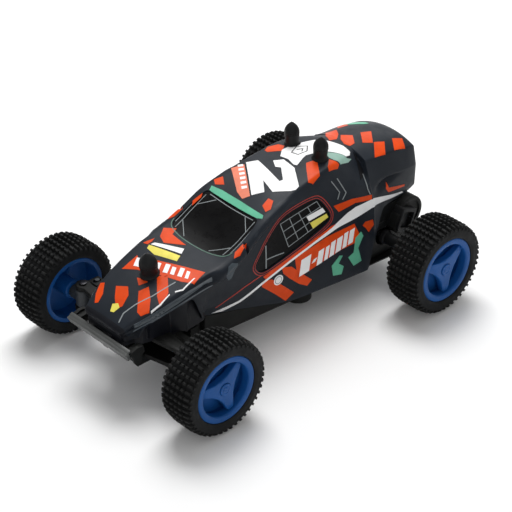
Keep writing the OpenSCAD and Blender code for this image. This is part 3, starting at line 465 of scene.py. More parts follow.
def shell_rings():
    """Outer rings, left side first: array [station][point][xyz] in millimetres."""
    R = []
    for y in stations():
        h = half_ring(y)
        z0 = ZL(y)
        # rounded nose and tail edges
        d = 0.0
        if y < -93.6: d = 1.4 - math.sqrt(max(1.4 ** 2 - (-93.6 - y) ** 2, 0))
        if y > 99.8: d = 0.8 * (2.5 - math.sqrt(max(2.5 ** 2 - (y - 99.8) ** 2, 0)))
        zt = h[0][1]
        x = h[:, 0] * (1 - d / 14.0)
        z = h[:, 1] - d * np.clip((h[:, 1] - z0) / max(zt - z0, 1), 0, 1)
        yy = np.full(len(x), y)
        if y < -86:   # the nose face rakes back towards its foot
            yy = yy + np.maximum(0, 39.5 - z) * 0.55 * sstep(-86, -93, y)
        if y > 92:    # the tail face leans and crowns
            w = sstep(92, 102.3, y)
            yy = yy - w * (0.5 * (x / 20.0) ** 2 + 0.03 * np.maximum(0, 66 - z))
        left = np.stack([x, yy, z], 1)
        right = left.copy()[1:]; right[:, 0] *= -1
        R.append(np.concatenate([left[::-1], right]))
    return np.array(R)
# ---------------------------------------------------------------- body shell
def shell_mesh():
    R = shell_rings()
    m, n, _ = R.shape
    out = R.reshape(-1, 3)
    # inner skin: the same rings drawn in by the wall
    I = R.copy()
    wall = 1.5
    ys = R[:, n // 2, 1]
    y0, y1 = -93.4, 98.8
    for j in range(m):
        zc = R[j, n // 2, 2]
        x = R[j, :, 0]
        zl = R[j, 0, 2]
        I[j, :, 0] = np.sign(x) * np.maximum(np.abs(x) - wall, 0) if True else x
        t = np.clip((R[j, :, 2] - zl) / max(zc - zl, 1), 0, 1)
        I[j, :, 2] = R[j, :, 2] - wall * np.clip((1.25 * t - 0.1), 0, 1)
        I[j, :, 1] = R[j, :, 1] * (y1 - y0) / 195.5 + (y0 + y1) / 2 - 2.75 * (y1 - y0) / 195.5
    inn = I.reshape(-1, 3)
    N = m * n
    V = np.concatenate([out, inn])
    F = []
    for j in range(m - 1):
        for i in range(n - 1):
            a = j * n + i
            F.append((a, a + 1, a + n + 1, a + n))
            F.append((a + N, a + n + N, a + n + 1 + N, a + 1 + N))
        # lower rims
        F.append((j * n, (j + 1) * n, (j + 1) * n + N, j * n + N))
        k = j * n + n - 1
        F.append((k, k + N, k + n + N, k + n))
    for base, flip in ((0, False), ((m - 1) * n, True)):
        for off in (0, N):
            for i in range(n // 2):
                q = [base + off + i, base + off + n - 1 - i, base + off + n - 2 - i, base + off + i + 1]
                if i == n // 2 - 1:
                    q = [base + off + i, base + off + n - 1 - i, base + off + i + 1]
                F.append(tuple(q))
        F.append((base, base + n - 1, base + n - 1 + N, base + N))
    return V, F


def chaikin(poly, it=2, closed=True):
    P = [np.array(p, float) for p in poly]
    for _ in range(it):
        Q = []
        k = len(P)
        for i in range(k if closed else k - 1):
            a, b = P[i], P[(i + 1) % k]
            Q += [a * 0.78 + b * 0.22, a * 0.22 + b * 0.78]
        P = Q
    return [tuple(p) for p in P]


def inset(poly, d):
    """Shrinks a closed outline by d along its corner bisectors."""
    P = [np.array(p, float) for p in poly]
    n = len(P)
    area = sum(P[i][0] * P[(i + 1) % n][1] - P[(i + 1) % n][0] * P[i][1] for i in range(n))
    s = 1 if area > 0 else -1
    out = []
    for i in range(n):
        a, b, c = P[i - 1], P[i], P[(i + 1) % n]
        e1, e2 = b - a, c - b
        e1, e2 = e1 / (np.linalg.norm(e1) + 1e-9), e2 / (np.linalg.norm(e2) + 1e-9)
        n1, n2 = np.array([-e1[1], e1[0]]) * s, np.array([-e2[1], e2[0]]) * s
        bis = n1 + n2
        k = max(float(bis @ bis), 0.4)
        out.append(tuple(b + bis * (2 * d / k)))
    return out


# windscreen outline in plan and side window outline in profile
WS = chaikin([(-18.0, -9.6), (17.4, -10.4), (20.0, -13.2), (20.9, -24.0), (20.9, -31.4), (18.6, -34.2), (10.0, -36.2),
              (0.0, -36.6), (-10.0, -36.2), (-18.6, -34.2), (-20.9, -31.4), (-20.9, -24.0), (-20.0, -13.2)], 2)
SW = chaikin([(-17.2, 46.6), (-14.6, 51.0), (-9.0, 58.6), (-1.0, 65.8), (6.0, 68.0), (24.0, 68.6), (28.4, 65.4), (33.6, 56.8),
              (32.4, 52.6), (20.0, 48.2), (4.0, 43.4), (-9.4, 40.4), (-13.6, 41.8)], 2)
SV, SF = shell_mesh()
outer_n = len(SV) // 2
m_st = len(stations()); n_pt = outer_n // m_st
# a smooth copy of the outer skin that every printed piece and panel is draped on
SKIN = BVHTree.FromPolygons([Vector(p) for p in SV[:outer_n]],
                            [f for f in SF if max(f) < outer_n], all_triangles=False)


def cutter(name, V, F):
    me = bpy.data.meshes.new(name)
    me.from_pydata([tuple(float(c) * MM for c in v) for v in V], [], F)
    bm = bmesh.new(); bm.from_mesh(me)
    bmesh.ops.recalc_face_normals(bm, faces=bm.faces)
    bm.to_mesh(me); bm.free()
    ob = bpy.data.objects.new(name, me)
    scene.collection.objects.link(ob)
    return ob


def cut(ob, cutters, keep_mat=True):
    """Exact boolean differences, applied, cutters removed."""
    for c in cutters:
        md = ob.modifiers.new("cut", "BOOLEAN")
        md.operation = "DIFFERENCE"
        md.solver = "EXACT"
        md.object = c
    dg = bpy.context.evaluated_depsgraph_get()
    me = bpy.data.meshes.new_from_object(ob.evaluated_get(dg))
    old = ob.data
    ob.modifiers.clear()
    ob.data = me
    bpy.data.meshes.remove(old)
    for c in cutters:
        bpy.data.objects.remove(c)
    return ob


shell = make("shell_body", SV, SF, SHELL, "car_body", 28, ("body_shell",), "shell_plastic")
holes = [cutter("c_ws", *prism(WS, 45, 95, "xy")),
         cutter("c_l", *prism(SW, 16.5, 40, "yz")), cutter("c_r", *prism(SW, -40, -16.5, "yz"))]
cut(shell, holes)
finish_mesh(shell.data, 28)


def drape(name, polys, kind, mat, lift=0.1, sink=0.12, grid=0.7, body="car_body", slot="shell_plastic",
          stands_for=(), bulge=0.0, lines=()):
    """Thin closed pieces cut from flat outlines and laid on the skin.
    kind top looks down, left and right look in from the sides."""
    bm = bmesh.new()
    for poly in polys:
        P = [Vector((p[0], p[1], 0)) for p in poly]
        tris = tessellate_polygon([P])
        vs = [bm.verts.new(p) for p in P]
        for t in tris:
            a, b, c = (vs[i] for i in t)
            ar = (b.co.x - a.co.x) * (c.co.y - a.co.y) - (c.co.x - a.co.x) * (b.co.y - a.co.y)
            if abs(ar) < 1e-7:
                continue
            try:
                bm.faces.new((a, b, c) if ar > 0 else (a, c, b))
            except ValueError:
                pass
    loose = [v for v in bm.verts if not v.link_faces]
    bmesh.ops.delete(bm, geom=loose, context="VERTS")
    xs = [v.co.x for v in bm.verts]; ysv = [v.co.y for v in bm.verts]
    for ax, a, b in ((0, min(xs), max(xs)), (1, min(ysv), max(ysv))):
        k = math.floor(a / grid) + 1
        while k * grid < b:
            co = [0, 0, 0]; no = [0, 0, 0]
            co[ax] = k * grid; no[ax] = 1
            bmesh.ops.bisect_plane(bm, geom=bm.verts[:] + bm.edges[:] + bm.faces[:], dist=1e-5, plane_co=co, plane_no=no)
            k += 1
    bmesh.ops.dissolve_degenerate(bm, dist=0.004, edges=bm.edges)
    bm.verts.ensure_lookup_table()
    top, low, ok = [], [], []
    for v in bm.verts:
        if kind == "top":
            o, d = Vector((v.co.x, v.co.y, 130)), Vector((0, 0, -1))
        elif kind == "left":
            o, d = Vector((70, v.co.x, v.co.y)), Vector((-1, 0, 0))
        elif kind == "right":
            o, d = Vector((-70, v.co.x, v.co.y)), Vector((1, 0, 0))
        elif kind == "front":
            o, d = Vector((v.co.x, -130, v.co.y)), Vector((0, 1, 0))
        else:
            o, d = Vector((v.co.x, 140, v.co.y)), Vector((0, -1, 0))
        loc, nor, _, _ = SKIN.ray_cast(o, d)
        if loc is None:
            ok.append(False); top.append(None); low.append(None); continue
        if nor.dot(d) > 0:
            nor = -nor
        # average the normal over a small patch so creases stay even
        acc = Vector((0, 0, 0))
        for lo_, no_, _, dist in SKIN.find_nearest_range(loc, 0.9):
            acc += no_ if no_.dot(d) < 0 else -no_
        nn = acc.normalized() if acc.length > 1e-6 else nor
        ok.append(True); top.append(loc + nn * lift); low.append(loc - nn * sink)
    idx = {v.index: i for i, v in enumerate(bm.verts)}
    F0 = []
    for f in bm.faces:
        q = [v.index for v in f.verts]
        if all(ok[i] for i in q):
            F0.append(q if kind in ("top", "left", "back") else q[::-1])
    if not F0:
        bm.free(); return None
    edges = {}
    for q in F0:
        for i in range(len(q)):
            edges[(q[i], q[(i + 1) % len(q)])] = 1
    used = sorted({i for q in F0 for i in q})
    mp = {o_: i for i, o_ in enumerate(used)}
    n0 = len(used)
    V = [tuple(top[i]) for i in used] + [tuple(low[i]) for i in used]
    F = [[mp[i] for i in q] for q in F0] + [[mp[i] + n0 for i in q][::-1] for q in F0]
    for (a, b) in edges:
        if (b, a) not in edges:
            F.append([mp[b], mp[a], mp[a] + n0, mp[b] + n0])
    bm.free()
    ob = make(name, V, F, mat, body, 40, stands_for, slot, fix=False)
    return ob


def mirror_poly(p):
    return [(-x, y) for x, y in p][::-1]


def stroke(points, w, closed=False):
    """A constant-width band along a polyline, as one outline (open) or quads (closed)."""
    P = [np.array(p, float) for p in points]
    n = len(P)
    L, Rr = [], []
    for i in range(n):
        a = P[i - 1] if (i > 0 or closed) else P[i]
        c = P[(i + 1) % n] if (i < n - 1 or closed) else P[i]
        d1 = P[i] - a; d2 = c - P[i]
        d1 = d1 / np.linalg.norm(d1) if np.linalg.norm(d1) > 1e-9 else None
        d2 = d2 / np.linalg.norm(d2) if np.linalg.norm(d2) > 1e-9 else None
        if d1 is None: d1 = d2
        if d2 is None: d2 = d1
        nrm = np.array([-(d1 + d2)[1], (d1 + d2)[0]])
        nrm /= np.linalg.norm(nrm) + 1e-9
        k = 1 / max(0.5, float(nrm @ np.array([-d1[1], d1[0]])))
        L.append(P[i] + nrm * w / 2 * k); Rr.append(P[i] - nrm * w / 2 * k)
    if not closed:
        return [[tuple(p) for p in L] + [tuple(p) for p in Rr[::-1]]]
    return [[tuple(L[i]), tuple(L[(i + 1) % n]), tuple(Rr[(i + 1) % n]), tuple(Rr[i])] for i in range(n)]


# window panels, sunk below the skin; they fill the cut openings
def panel(name, poly, kind, node):
    big = inset(poly, -0.9)
    ob = drape(name, [big], kind, GLASS, lift=-0.62, sink=1.45, grid=1.1, slot="window_black", stands_for=(node,))
    finish_mesh(ob.data, 50)
    return ob


panel("windscreen_panel", WS, "top", "windscreen")
panel("side_window_panel_left", SW, "left", "side_window_left")
panel("side_window_panel_right", SW, "right", "side_window_right")
# ---------------------------------------------------------------- printed livery
# Plain shapes only. Plan outlines are (x, y); side outlines are (y, z).
def bar(u0, u1, v0, v1, slant, org, du, dv):
    """A slanted bar in a frame with unit vectors du, dv."""
    pts = [(u0, v0), (u1, v0), (u1 + slant, v1), (u0 + slant, v1)]
    return [(org[0] + a * du[0] + b * dv[0], org[1] + a * du[1] + b * dv[1]) for a, b in pts]


top_orange = [
    [(-10.4, -90.6), (-14.1, -86.8), (-17.2, -81.3), (-15.2, -80.3), (-10.5, -85.3), (-8.9, -89.6)],
    [(-8.3, -78.9), (-2.7, -76.0), (1.7, -79.4), (4.1, -85.3), (2.3, -87.8), (-3.3, -83.8)],
    [(4.2, -75.2), (6.2, -70.5), (12.7, -75.0), (18.0, -80.4), (16.2, -84.2), (13.2, -83.8)],
    [(4.3, -63.7), (8.1, -60.2), (16.8, -67.3), (18.5, -70.2), (19.3, -75.1), (14.1, -72.1)],
    [(-3.3, -69.9), (1.8, -67.9), (3.5, -69.0), (1.5, -72.8)],
    [(-21.1, -37.6), (-15.5, -34.0), (-14.0, -38.0), (-2.4, -39.3), (-12.0, -45.3), (-17.5, -43.0)],
    [(-20.3, -51.6), (-18.4, -45.7), (-17.4, -48.5), (-17.5, -51.2)],
    # bonnet panel
    [(-14.6, -69.9), (-15.4, -59.4), (-11.0, -61.6), (-3.9, -56.3), (9.0, -51.6), (20.8, -47.4), (22.3, -55.9), (16.7, -58.9),
     (4.5, -62.5), (-7.7, -66.4)],
    # roof and pillars
    [(-21.0, -4.2), (-18.5, -0.3), (-13.7, -3.8), (-17.8, -6.2)],
    [(-17.8, 29.6), (-15.0, 34.4), (-11.2, 35.0), (-8.6, 31.0), (-14.2, 25.9), (-16.6, 26.4)],
    [(8.4, 31.2), (9.8, 36.0), (12.3, 35.3), (19.3, 30.0), (20.3, 24.4), (19.5, 21.9), (11.3, 28.5)],
    [(13.4, 42.2), (15.8, 43.9), (17.6, 45.2), (18.6, 43.3), (19.1, 36.6), (17.5, 37.4)],
    [(-13.2, 66.4), (-12.2, 73.2), (-5.6, 68.0), (-0.4, 61.6), (-0.5, 56.4), (-7.0, 60.1)],
    [(-3.9, 68.0), (0.1, 72.6), (6.4, 67.6), (7.6, 63.2), (5.2, 61.2), (0.5, 63.4)],
    [(0.2, 78.3), (2.0, 84.3), (10.5, 76.9), (8.0, 71.9)],
    [(10.3, 77.8), (12.0, 83.9), (18.6, 77.8), (18.2, 70.5)],
    [(11.3, 90.3), (12.6, 96.6), (18.6, 92.6), (18.3, 84.8)],
    [(-19.4, 80.5), (-18.2, 86.8), (-12.4, 82.0), (-13.4, 75.6)],
    [(13.8, -3.6), (12.9, 1.3), (16.2, 1.4), (19.4, -3.3), (18.4, -5.9)],
    [(22.3, -29.6), (22.1, -24.2), (23.4, -22.9), (25.2, -29.0), (24.4, -32.2)],
    [(-22.3, -29.6), (-24.4, -32.2), (-25.2, -29.0), (-23.4, -22.9), (-22.1, -24.2)],
    [(-20.6, -18.7), (-19.4, -13.2), (-18.2, -15.2), (-18.9, -20.6)],
]
roof_u, roof_v = (0.806, -0.592), (0.592, 0.806)
# roof band beside the numeral
top_salmon = [[(-19.6, 6.2), (-16.1, 11.9), (3.6, -2.4), (1.4, -5.6), (-4.3, -3.8)]]
# block numeral two, plain strokes
two = [(-16.5, 13.5), (-12.5, 18.0), (8.6, 12.7), (9.3, 14.5), (1.5, 20.6), (-1.2, 19.2), (-5.9, 22.2), (-2.3, 26.0), (6.9, 24.6),
       (18.6, 16.4), (19.2, 13.6), (18.2, 11.4), (11.4, 5.4), (1.4, 8.5), (8.1, 3.1), (3.9, -1.7)]
top_white = [two,
             [(-5.8, 27.0), (-9.2, 31.4), (-8.6, 37.1), (-7.0, 42.6), (-5.3, 50.0), (-2.9, 54.1), (0.6, 55.6), (6.7, 59.0), (11.6, 59.0), (13.4, 57.0),
              (14.3, 53.4), (10.9, 50.3), (8.3, 47.2), (5.9, 42.5), (3.7, 35.6), (4.5, 32.3), (6.4, 26.9), (4.6, 26.2), (-0.7, 27.6)],
             # sticker, white half
             [(-16.2, -50.2), (-15.4, -48.0), (-0.8, -41.9), (1.4, -45.6)],
             # bonnet lines
             [(18.6, -79.8), (19.4, -74.1), (18.5, -67.8), (17.9, -67.6), (18.7, -74.1), (18.0, -79.4)],
             [(19.4, -65.4), (21.3, -61.9), (20.2, -53.2), (19.6, -53.6), (20.6, -61.8), (18.8, -64.9)]]
top_black_and_shade = [[(-16.4, -50.9), (-16.2, -50.2), (1.4, -45.6), (2.2, -47.0)],
             # panel on the roof sweep
             # painted shade: a dark crescent on the shaded step where the roof meets the rear block
             [(11.2, 61.4), (12.4, 62.6), (16.0, 63.0), (19.6, 61.4), (21.0, 57.6), (18.8, 58.8), (15.2, 60.4)]]
top_yellow = [[(-15.4, -53.2), (-16.4, -50.9), (2.2, -47.0), (4.1, -50.9), (-8.6, -54.4)],
              [(0.7, -90.1), (-1.5, -86.8), (0.9, -85.2), (3.4, -86.5), (2.7, -89.6)]]
top_teal = [[(-17.6, -10.2), (-18.7, -7.7), (-11.5, -6.8), (2.0, -7.0), (19.2, -8.0), (20.3, -9.8), (17.4, -10.8), (-16.4, -10.3)],
            [(-19.0, 84.0), (-17.0, 88.0), (-10.5, 92.6), (-7.0, 92.0), (-7.6, 88.6), (-13.5, 84.0)]]
# pale bonnet contour on the left side
pale_line = [(9.2, -91.9), (7.6, -87.6), (9.2, -80.8), (12.2, -73.3), (14.6, -60.8)]
top_pale = stroke(pale_line, 0.6)
# short slanted bars stand in for the bonnet panel's lettering
bu = (20.8 + 14.8, -47.5 + 59.4); L_ = math.hypot(*bu); bu = (bu[0] / L_, bu[1] / L_); bv = (-bu[1], bu[0])
letters = []
for i, (w_, h_) in enumerate([(3.4, 5.6), (2.0, 4.4), (2.4, 5.4), (1.8, 5.2), (2.6, 5.6), (2.2, 4.8), (2.4, 5.6), (1.8, 4.6)]):
    u_ = 2.2 + i * 4.1
    yb = -64.4 + 1.0 * i * 0.12
    letters.append(bar(u_, u_ + w_, 0, h_, -1.3, (-13.2, -66.2), bu, bv))
roof_letters = [bar(-20.8 + i * 3.4, -19.0 + i * 3.4, -3.2, -0.5, 0.5, (0, 0), roof_u, roof_v) for i in range(6)]
drape("print_top_orange", top_orange, "top", ORANGE)
drape("print_top_band", top_salmon, "top", SALMON)
drape("print_top_white", top_white, "top", WHITE, lift=0.14)
panel_box = [(-3.6, 32.6), (-5.6, 38.0), (-2.2, 42.4), (1.4, 38.6), (0.4, 33.4)]
top_black_and_shade += stroke(panel_box + [panel_box[0]], 0.55) + stroke([(-3.4, 36.0), (-1.8, 38.8), (-0.2, 36.6)], 0.55)
# black print, with the painted shade crescent at the roof step
drape("print_top_black", top_black_and_shade, "top", INK_BLACK_AND_SHADE, lift=0.16)
drape("print_top_yellow", top_yellow, "top", YELLOW, lift=0.13)
drape("print_top_teal", top_teal, "top", TEAL, lift=0.12)
drape("print_top_pale", top_pale, "top", PALE, lift=0.12)
drape("print_top_mist", [[(8.8, 46.6), (11.4, 50.2), (14.9, 53.4), (14.6, 57.0), (16.2, 53.2), (17.5, 46.4), (15.3, 44.3), (11.6, 42.9), (7.4, 43.0)]],
      "top", TEAL2, lift=0.12)
drape("print_top_bars", letters + roof_letters, "top", WHITE, lift=0.2)

# sides
sw_out = inset(SW, -2.3)
def ring_quads(a, b):
    n = len(a)
    return [[a[i], a[(i + 1) % n], b[(i + 1) % n], b[i]] for i in range(n)]
side_red = ring_quads(inset(SW, -2.0), inset(SW, -1.6)) + ring_quads(inset(SW, -0.7), inset(SW, -0.42)) \
    + stroke([(-39.7, 31.2), (-34.6, 33.6), (-22.9, 37.2), (-12.0, 39.4)], 0.7)
side_orange = [
    # under the white sweep, then behind the window
    [(-10.9, 37.9), (-9.0, 35.5), (9.9, 40.1), (38.0, 49.6), (33.7, 49.7), (4.7, 41.7)],
    [(35.9, 59.9), (48.4, 59.2), (62.4, 56.0), (61.8, 53.7), (50.0, 56.5), (38.8, 55.6)],
    # flank panel
    [(9.9, 40.1), (30.0, 44.6), (48.2, 45.6), (53.4, 34.4), (40.0, 33.6), (24.0, 30.6), (11.6, 27.3)],
    [(1.5, 37.9), (7.8, 36.0), (13.4, 30.0), (20.8, 23.0), (17.8, 20.4), (12.6, 23.7), (6.4, 29.6), (2.5, 34.0)],
    [(-10.9, 34.9), (-4.8, 33.6), (2.0, 27.2), (9.7, 19.6), (4.8, 16.2), (-2.4, 23.6), (-11.1, 31.7)],
    [(56.0, 43.6), (61.4, 42.6), (62.2, 39.3), (58.3, 36.5), (56.4, 39.5), (54.0, 42.2)],
    [(75.7, 56.9), (76.6, 53.6), (90.2, 49.6), (90.0, 48.6), (76.0, 51.4), (74.4, 54.0)],
]
side_white = [[(-40.4, 27.2), (-34.0, 25.9), (-24.0, 28.0), (-11.1, 33.2), (7.8, 39.2), (22.0, 43.6), (37.6, 47.2), (50.0, 48.6),
               (61.0, 49.7), (72.0, 48.2), (89.4, 45.0), (88.0, 46.4), (75.0, 50.0), (61.6, 53.8), (50.0, 54.4), (44.0, 53.0), (33.6, 48.5), (5.7, 40.0),
               (-12.2, 34.3), (-25.0, 29.3), (-34.6, 28.4)]]
side_teal = [[(33.5, 26.2), (38.6, 30.4), (40.6, 29.6), (38.0, 25.8), (41.4, 22.9), (40.2, 18.4), (34.6, 19.7)],
             [(48.9, 36.9), (52.8, 39.2), (54.4, 36.0), (50.9, 30.2), (53.4, 21.4), (48.1, 20.4), (44.3, 27.0), (47.8, 28.6)]]
side_bars = []
for i, (w_, h_) in enumerate([(6.2, 9.4), (2.2, 2.0), (3.6, 8.0), (2.4, 7.6), (3.0, 8.2), (3.6, 8.0), (2.6, 8.4), (3.2, 8.0)]):
    y_ = [12.4, 20.2, 23.4, 28.2, 31.6, 35.6, 40.2, 43.8][i]
    zb = 27.9 + (y_ - 12) * 0.212 + (3.2 if i == 1 else 0)
    side_bars.append([(y_, zb), (y_ + w_, zb + w_ * 0.2), (y_ + w_ + 1.5, zb + w_ * 0.2 + h_), (y_ + 1.5, zb + h_)])
def disc(cy, cz, r, n=28):
    return [(cy + r * math.cos(2 * math.pi * i / n), cz + r * math.sin(2 * math.pi * i / n)) for i in range(n)]
side_badge = [disc(-0.6, 31.4, 2.9)]
side_pale = ring_quads(disc(-0.6, 31.4, 2.2), disc(-0.6, 31.4, 1.8)) \
    + stroke([(36.7, 72.6), (41.0, 65.4), (39.0, 62.3)], 0.45) + stroke([(41.1, 72.4), (45.2, 63.7), (42.1, 61.0)], 0.45) \
    + stroke([(60.9, 66.5), (60.4, 60.0), (61.4, 56.5)], 0.5)
for side in ("left", "right"):
    drape("print_side_red_" + side, side_red, side, RED, lift=0.1)
    drape("print_side_orange_" + side, side_orange, side, ORANGE, lift=0.1)
    drape("print_side_white_" + side, side_white, side, WHITE, lift=0.14)
    drape("print_side_teal_" + side, side_teal, side, TEAL, lift=0.12)
    drape("print_side_bars_" + side, side_bars, side, WHITE, lift=0.17)
    drape("print_side_badge_" + side, side_badge, side, WHITE, lift=0.16)
    drape("print_side_pale_" + side, side_pale, side, PALE, lift=0.2)
# painted highlight: a paler grey patch on the pillar's lower lobe, where light from above catches it
for side in ("left", "right"):
    drape("lobe_highlight_patch_" + side, [[(-39.0, 53.5), (-36.8, 57.1), (-34.2, 58.0), (-31.2, 57.0), (-31.4, 52.7), (-33.2, 48.2), (-35.1, 47.6)]], side, LOBE_PAINTED_HIGHLIGHT, lift=0.1)
# printed cage and net on the sunk panels
def on_panel(name, polys, kind, mat, extra=0.0):
    return drape(name, polys, kind, mat, lift=-0.56 + extra, sink=0.8, grid=1.0)
net = []
for i in range(5):
    t = i / 4
    a = np.array([0.6, 63.6]) * (1 - t) + np.array([25.6, 66.2]) * t
    b = np.array([6.0, 48.2]) * (1 - t) + np.array([31.6, 55.0]) * t
    net += stroke([tuple(a), tuple(b)], 0.4)
for i in range(4):
    t = i / 3
    a = np.array([0.6, 63.6]) * (1 - t) + np.array([6.0, 48.2]) * t
    b = np.array([25.6, 66.2]) * (1 - t) + np.array([31.6, 55.0]) * t
    net += stroke([tuple(a), tuple(b)], 0.4)
net += stroke([(-9.4, 55.6), (-8.6, 41.6)], 0.7) + stroke([(-8.9, 47.0), (-2.4, 46.6), (3.0, 46.0)], 0.6)
stick = [[(18.1, 60.6), (29.0, 61.4), (30.6, 58.6), (19.6, 57.6)]]
stick_b = [[(19.6, 57.6), (30.6, 58.6), (31.2, 57.4), (20.2, 56.4)]]
stick_y = [[(20.2, 56.4), (31.2, 57.4), (32.2, 55.0), (22.0, 52.4)]]
for side in ("left", "right"):
    on_panel("print_net_" + side, net, side, PALE)
    on_panel("print_sticker_a_" + side, stick, side, WHITE, 0.08)
    on_panel("print_sticker_b_" + side, stick_b, side, INK_BLACK_AND_SHADE, 0.08)
    on_panel("print_sticker_c_" + side, stick_y, side, YELLOW, 0.08)
ws_in = inset(WS, 1.2)
cage = []
cage += stroke([(19.9, -14.5), (20.1, -24), (20.0, -31.0)], 0.36) + stroke([(17.6, -12.6), (17.9, -24), (17.4, -33.4)], 0.36)
cage += stroke([(-19.9, -14.5), (-20.1, -24), (-20.0, -31.0)], 0.36) + stroke([(-17.6, -12.6), (-17.9, -24), (-17.4, -33.4)], 0.36)
cage += stroke([(-16, -11.4), (0, -12.0), (16, -12.2)], 0.36)
cage += stroke([(10.6, -12.4), (17.6, -18.6)], 0.36) + stroke([(-10.6, -12.2), (-17.6, -18.6)], 0.36)
cage += stroke([(9.0, -35.0), (17.4, -28.4)], 0.36) + stroke([(-9.0, -35.0), (-17.4, -28.4)], 0.36)
on_panel("print_cage", cage, "top", PALE)
low = [p for p in inset(WS, -0.8)]
low_in = [p for p in inset(WS, -0.42)]
rim_q = [q for q in ring_quads(low, low_in) if max(p[1] for p in q) < -29.5]
drape("print_screen_edge", rim_q, "top", DASH, lift=0.12)
# ---------------------------------------------------------------- wheels
def tyre_geo(w, pitch_n=46):
    """Lugged tyre, local axis x, outer face at x = 0, body towards -x. One watertight skin:
    separate knobs rise out of a shared grid in rows, with long bars at the shoulders."""
    h = w / 2
    base_r = 23.1
    bar_w = 3.3
    inner = h - 0.9 - bar_w
    rows = []
    k = 4 if w < 20.5 else 5
    step = 2 * inner / k
    for i in range(k):
        a = -inner + i * step
        rows.append((a + 0.34, a + step - 0.34, 0, 1.95))
    rows = [(-h + 0.9, -h + 0.9 + bar_w - 0.15, 0, 1.6)] + rows + [(h - 0.9 - bar_w + 0.15, h - 0.9, 0, 1.6)]
    xs = sorted({round(v, 4) for r in rows for v in r[:2]})
    def rad(x):
        t = max(abs(x) - (h - 3.8), 0) / 2.9
        return base_r - 0.35 * t * t
    # angular cells: four a pitch; a knob covers one long cell
    cells = []
    for p in range(pitch_n):
        for f in (0.02, 0.49, 0.52, 0.99):
            cells.append((p + f) / pitch_n * 2 * math.pi)
    nc = len(cells)
    V, F = [], []
    gi = {}
    def gv(ix, ia):
        key = (ix, ia % nc)
        if key not in gi:
            r = rad(xs[ix]); a = cells[ia % nc]
            gi[key] = len(V); V.append((xs[ix], r * math.cos(a), r * math.sin(a)))
        return gi[key]
    lug_at = {}
    for (a, b, ph, hh) in rows:
        ia, ib = xs.index(round(a, 4)), xs.index(round(b, 4))
        for ix in range(ia, ib):
            lug_at[ix] = ph
    for ix in range(len(xs) - 1):
        for c in range(nc):
            if lug_at.get(ix) is None or c % 4 != (0 if lug_at[ix] == 0 else 2):
                F.append((gv(ix, c), gv(ix, c + 1), gv(ix + 1, c + 1), gv(ix + 1, c)))
    for (a, b, ph, hh) in rows:
        ia, ib = xs.index(round(a, 4)), xs.index(round(b, 4))
        for p in range(pitch_n):
            c0 = p * 4 + (0 if ph == 0 else 2)
            base = [gv(ia, c0), gv(ia, c0 + 1), gv(ib, c0 + 1), gv(ib, c0)]
            a0, a1 = cells[c0 % nc], cells[(c0 + 1) % nc]
            if a1 < a0: a1 += 2 * math.pi
            am, ah = (a0 + a1) / 2, (a1 - a0) / 2
            # small fixed differences keep the knobs from looking stamped
            jt = math.sin(p * 12.9898 + ia * 78.233) * 0.05
            def lv(shr, rise):
                out = []
                for ix_, sg in ((ia, 1), (ib, -1)):
                    x = xs[ix_]
                    for q in ((-1, 1) if ix_ == ia else (1, -1)):
                        aa = am + q * (ah - shr / base_r)
                        r = rad(x) + rise
                        V.append((x + sg * shr, r * math.cos(aa), r * math.sin(aa)))
                        out.append(len(V) - 1)
                return out
            low = lv(0.10, 0.35)
            mid = lv(0.20, hh - 0.22 + jt)
            top = lv(0.42, hh + jt)
            for lo_, hi_ in ((base, low), (low, mid), (mid, top)):
                for i in range(4):
                    j = (i + 1) % 4
                    F.append((lo_[i], lo_[j], hi_[j], hi_[i]))
            F.append(tuple(top))
    # side walls and bead: profile from the tread edge round the inside to the other edge
    e = h - 0.9
    re = rad(e)
    prof = [(e, re), (h - 0.45, re - 0.3), (h - 0.16, 22.0), (h - 0.02, 21.5), (h - 0.1, 20.9), (h - 0.1, 20.2), (h + 0.0, 19.6), (h - 0.05, 19.0),
            (h - 0.3, 18.3), (h - 0.75, 17.72), (h - 1.6, 17.68), (h - 2.1, 17.66), (h - 2.2, 17.08)]
    full = prof + [(-x, r) for x, r in prof[::-1]]
    rings = []
    for q, (x, r) in enumerate(full):
        ids = []
        for c in range(nc):
            if q == 0: ids.append(gv(len(xs) - 1, c))
            elif q == len(full) - 1: ids.append(gv(0, c))
            else:
                aa = cells[c]
                V.append((x, r * math.cos(aa), r * math.sin(aa))); ids.append(len(V) - 1)
        rings.append(ids)
    for q in range(len(full) - 1):
        for c in range(nc):
            d = (c + 1) % nc
            F.append((rings[q][c], rings[q][d], rings[q + 1][d], rings[q + 1][c]))
    # ribs that carry the shoulder bars down onto the side walls
    parts = [(V, F)]
    for (a, b, ph, hh) in (rows[0], rows[-1]):
        sx = -1 if a < 0 else 1
        for p in range(pitch_n):
            am = (p + (0.255 if ph == 0 else 0.755)) / pitch_n * 2 * math.pi
            P = []
            for r, x0, x1, ha in ((21.6, h - 0.7, h - 0.1, 0.40), (23.4, h - 1.2, h - 0.14, 0.62), (rad(h - 0.9) + 0.3, h - 1.6, h - 0.6, 0.5)):
                for x in (x0, x1):
                    for q in (-1, 1):
                        aa = am + q * ha / r
                        P.append((sx * x, r * math.cos(aa), r * math.sin(aa)))
            Fq = []
            for lv_ in (0, 4):
                for u, v in ((0, 1), (1, 3), (3, 2), (2, 0)):
                    Fq.append((lv_ + u, lv_ + v, lv_ + 4 + v, lv_ + 4 + u))
            Fq += [(0, 1, 3, 2), (8, 10, 11, 9)]
            parts.append((P, Fq))
    V, F = join_parts(parts)
    V = [(x - h, y, z) for x, y, z in V]
    return V, F


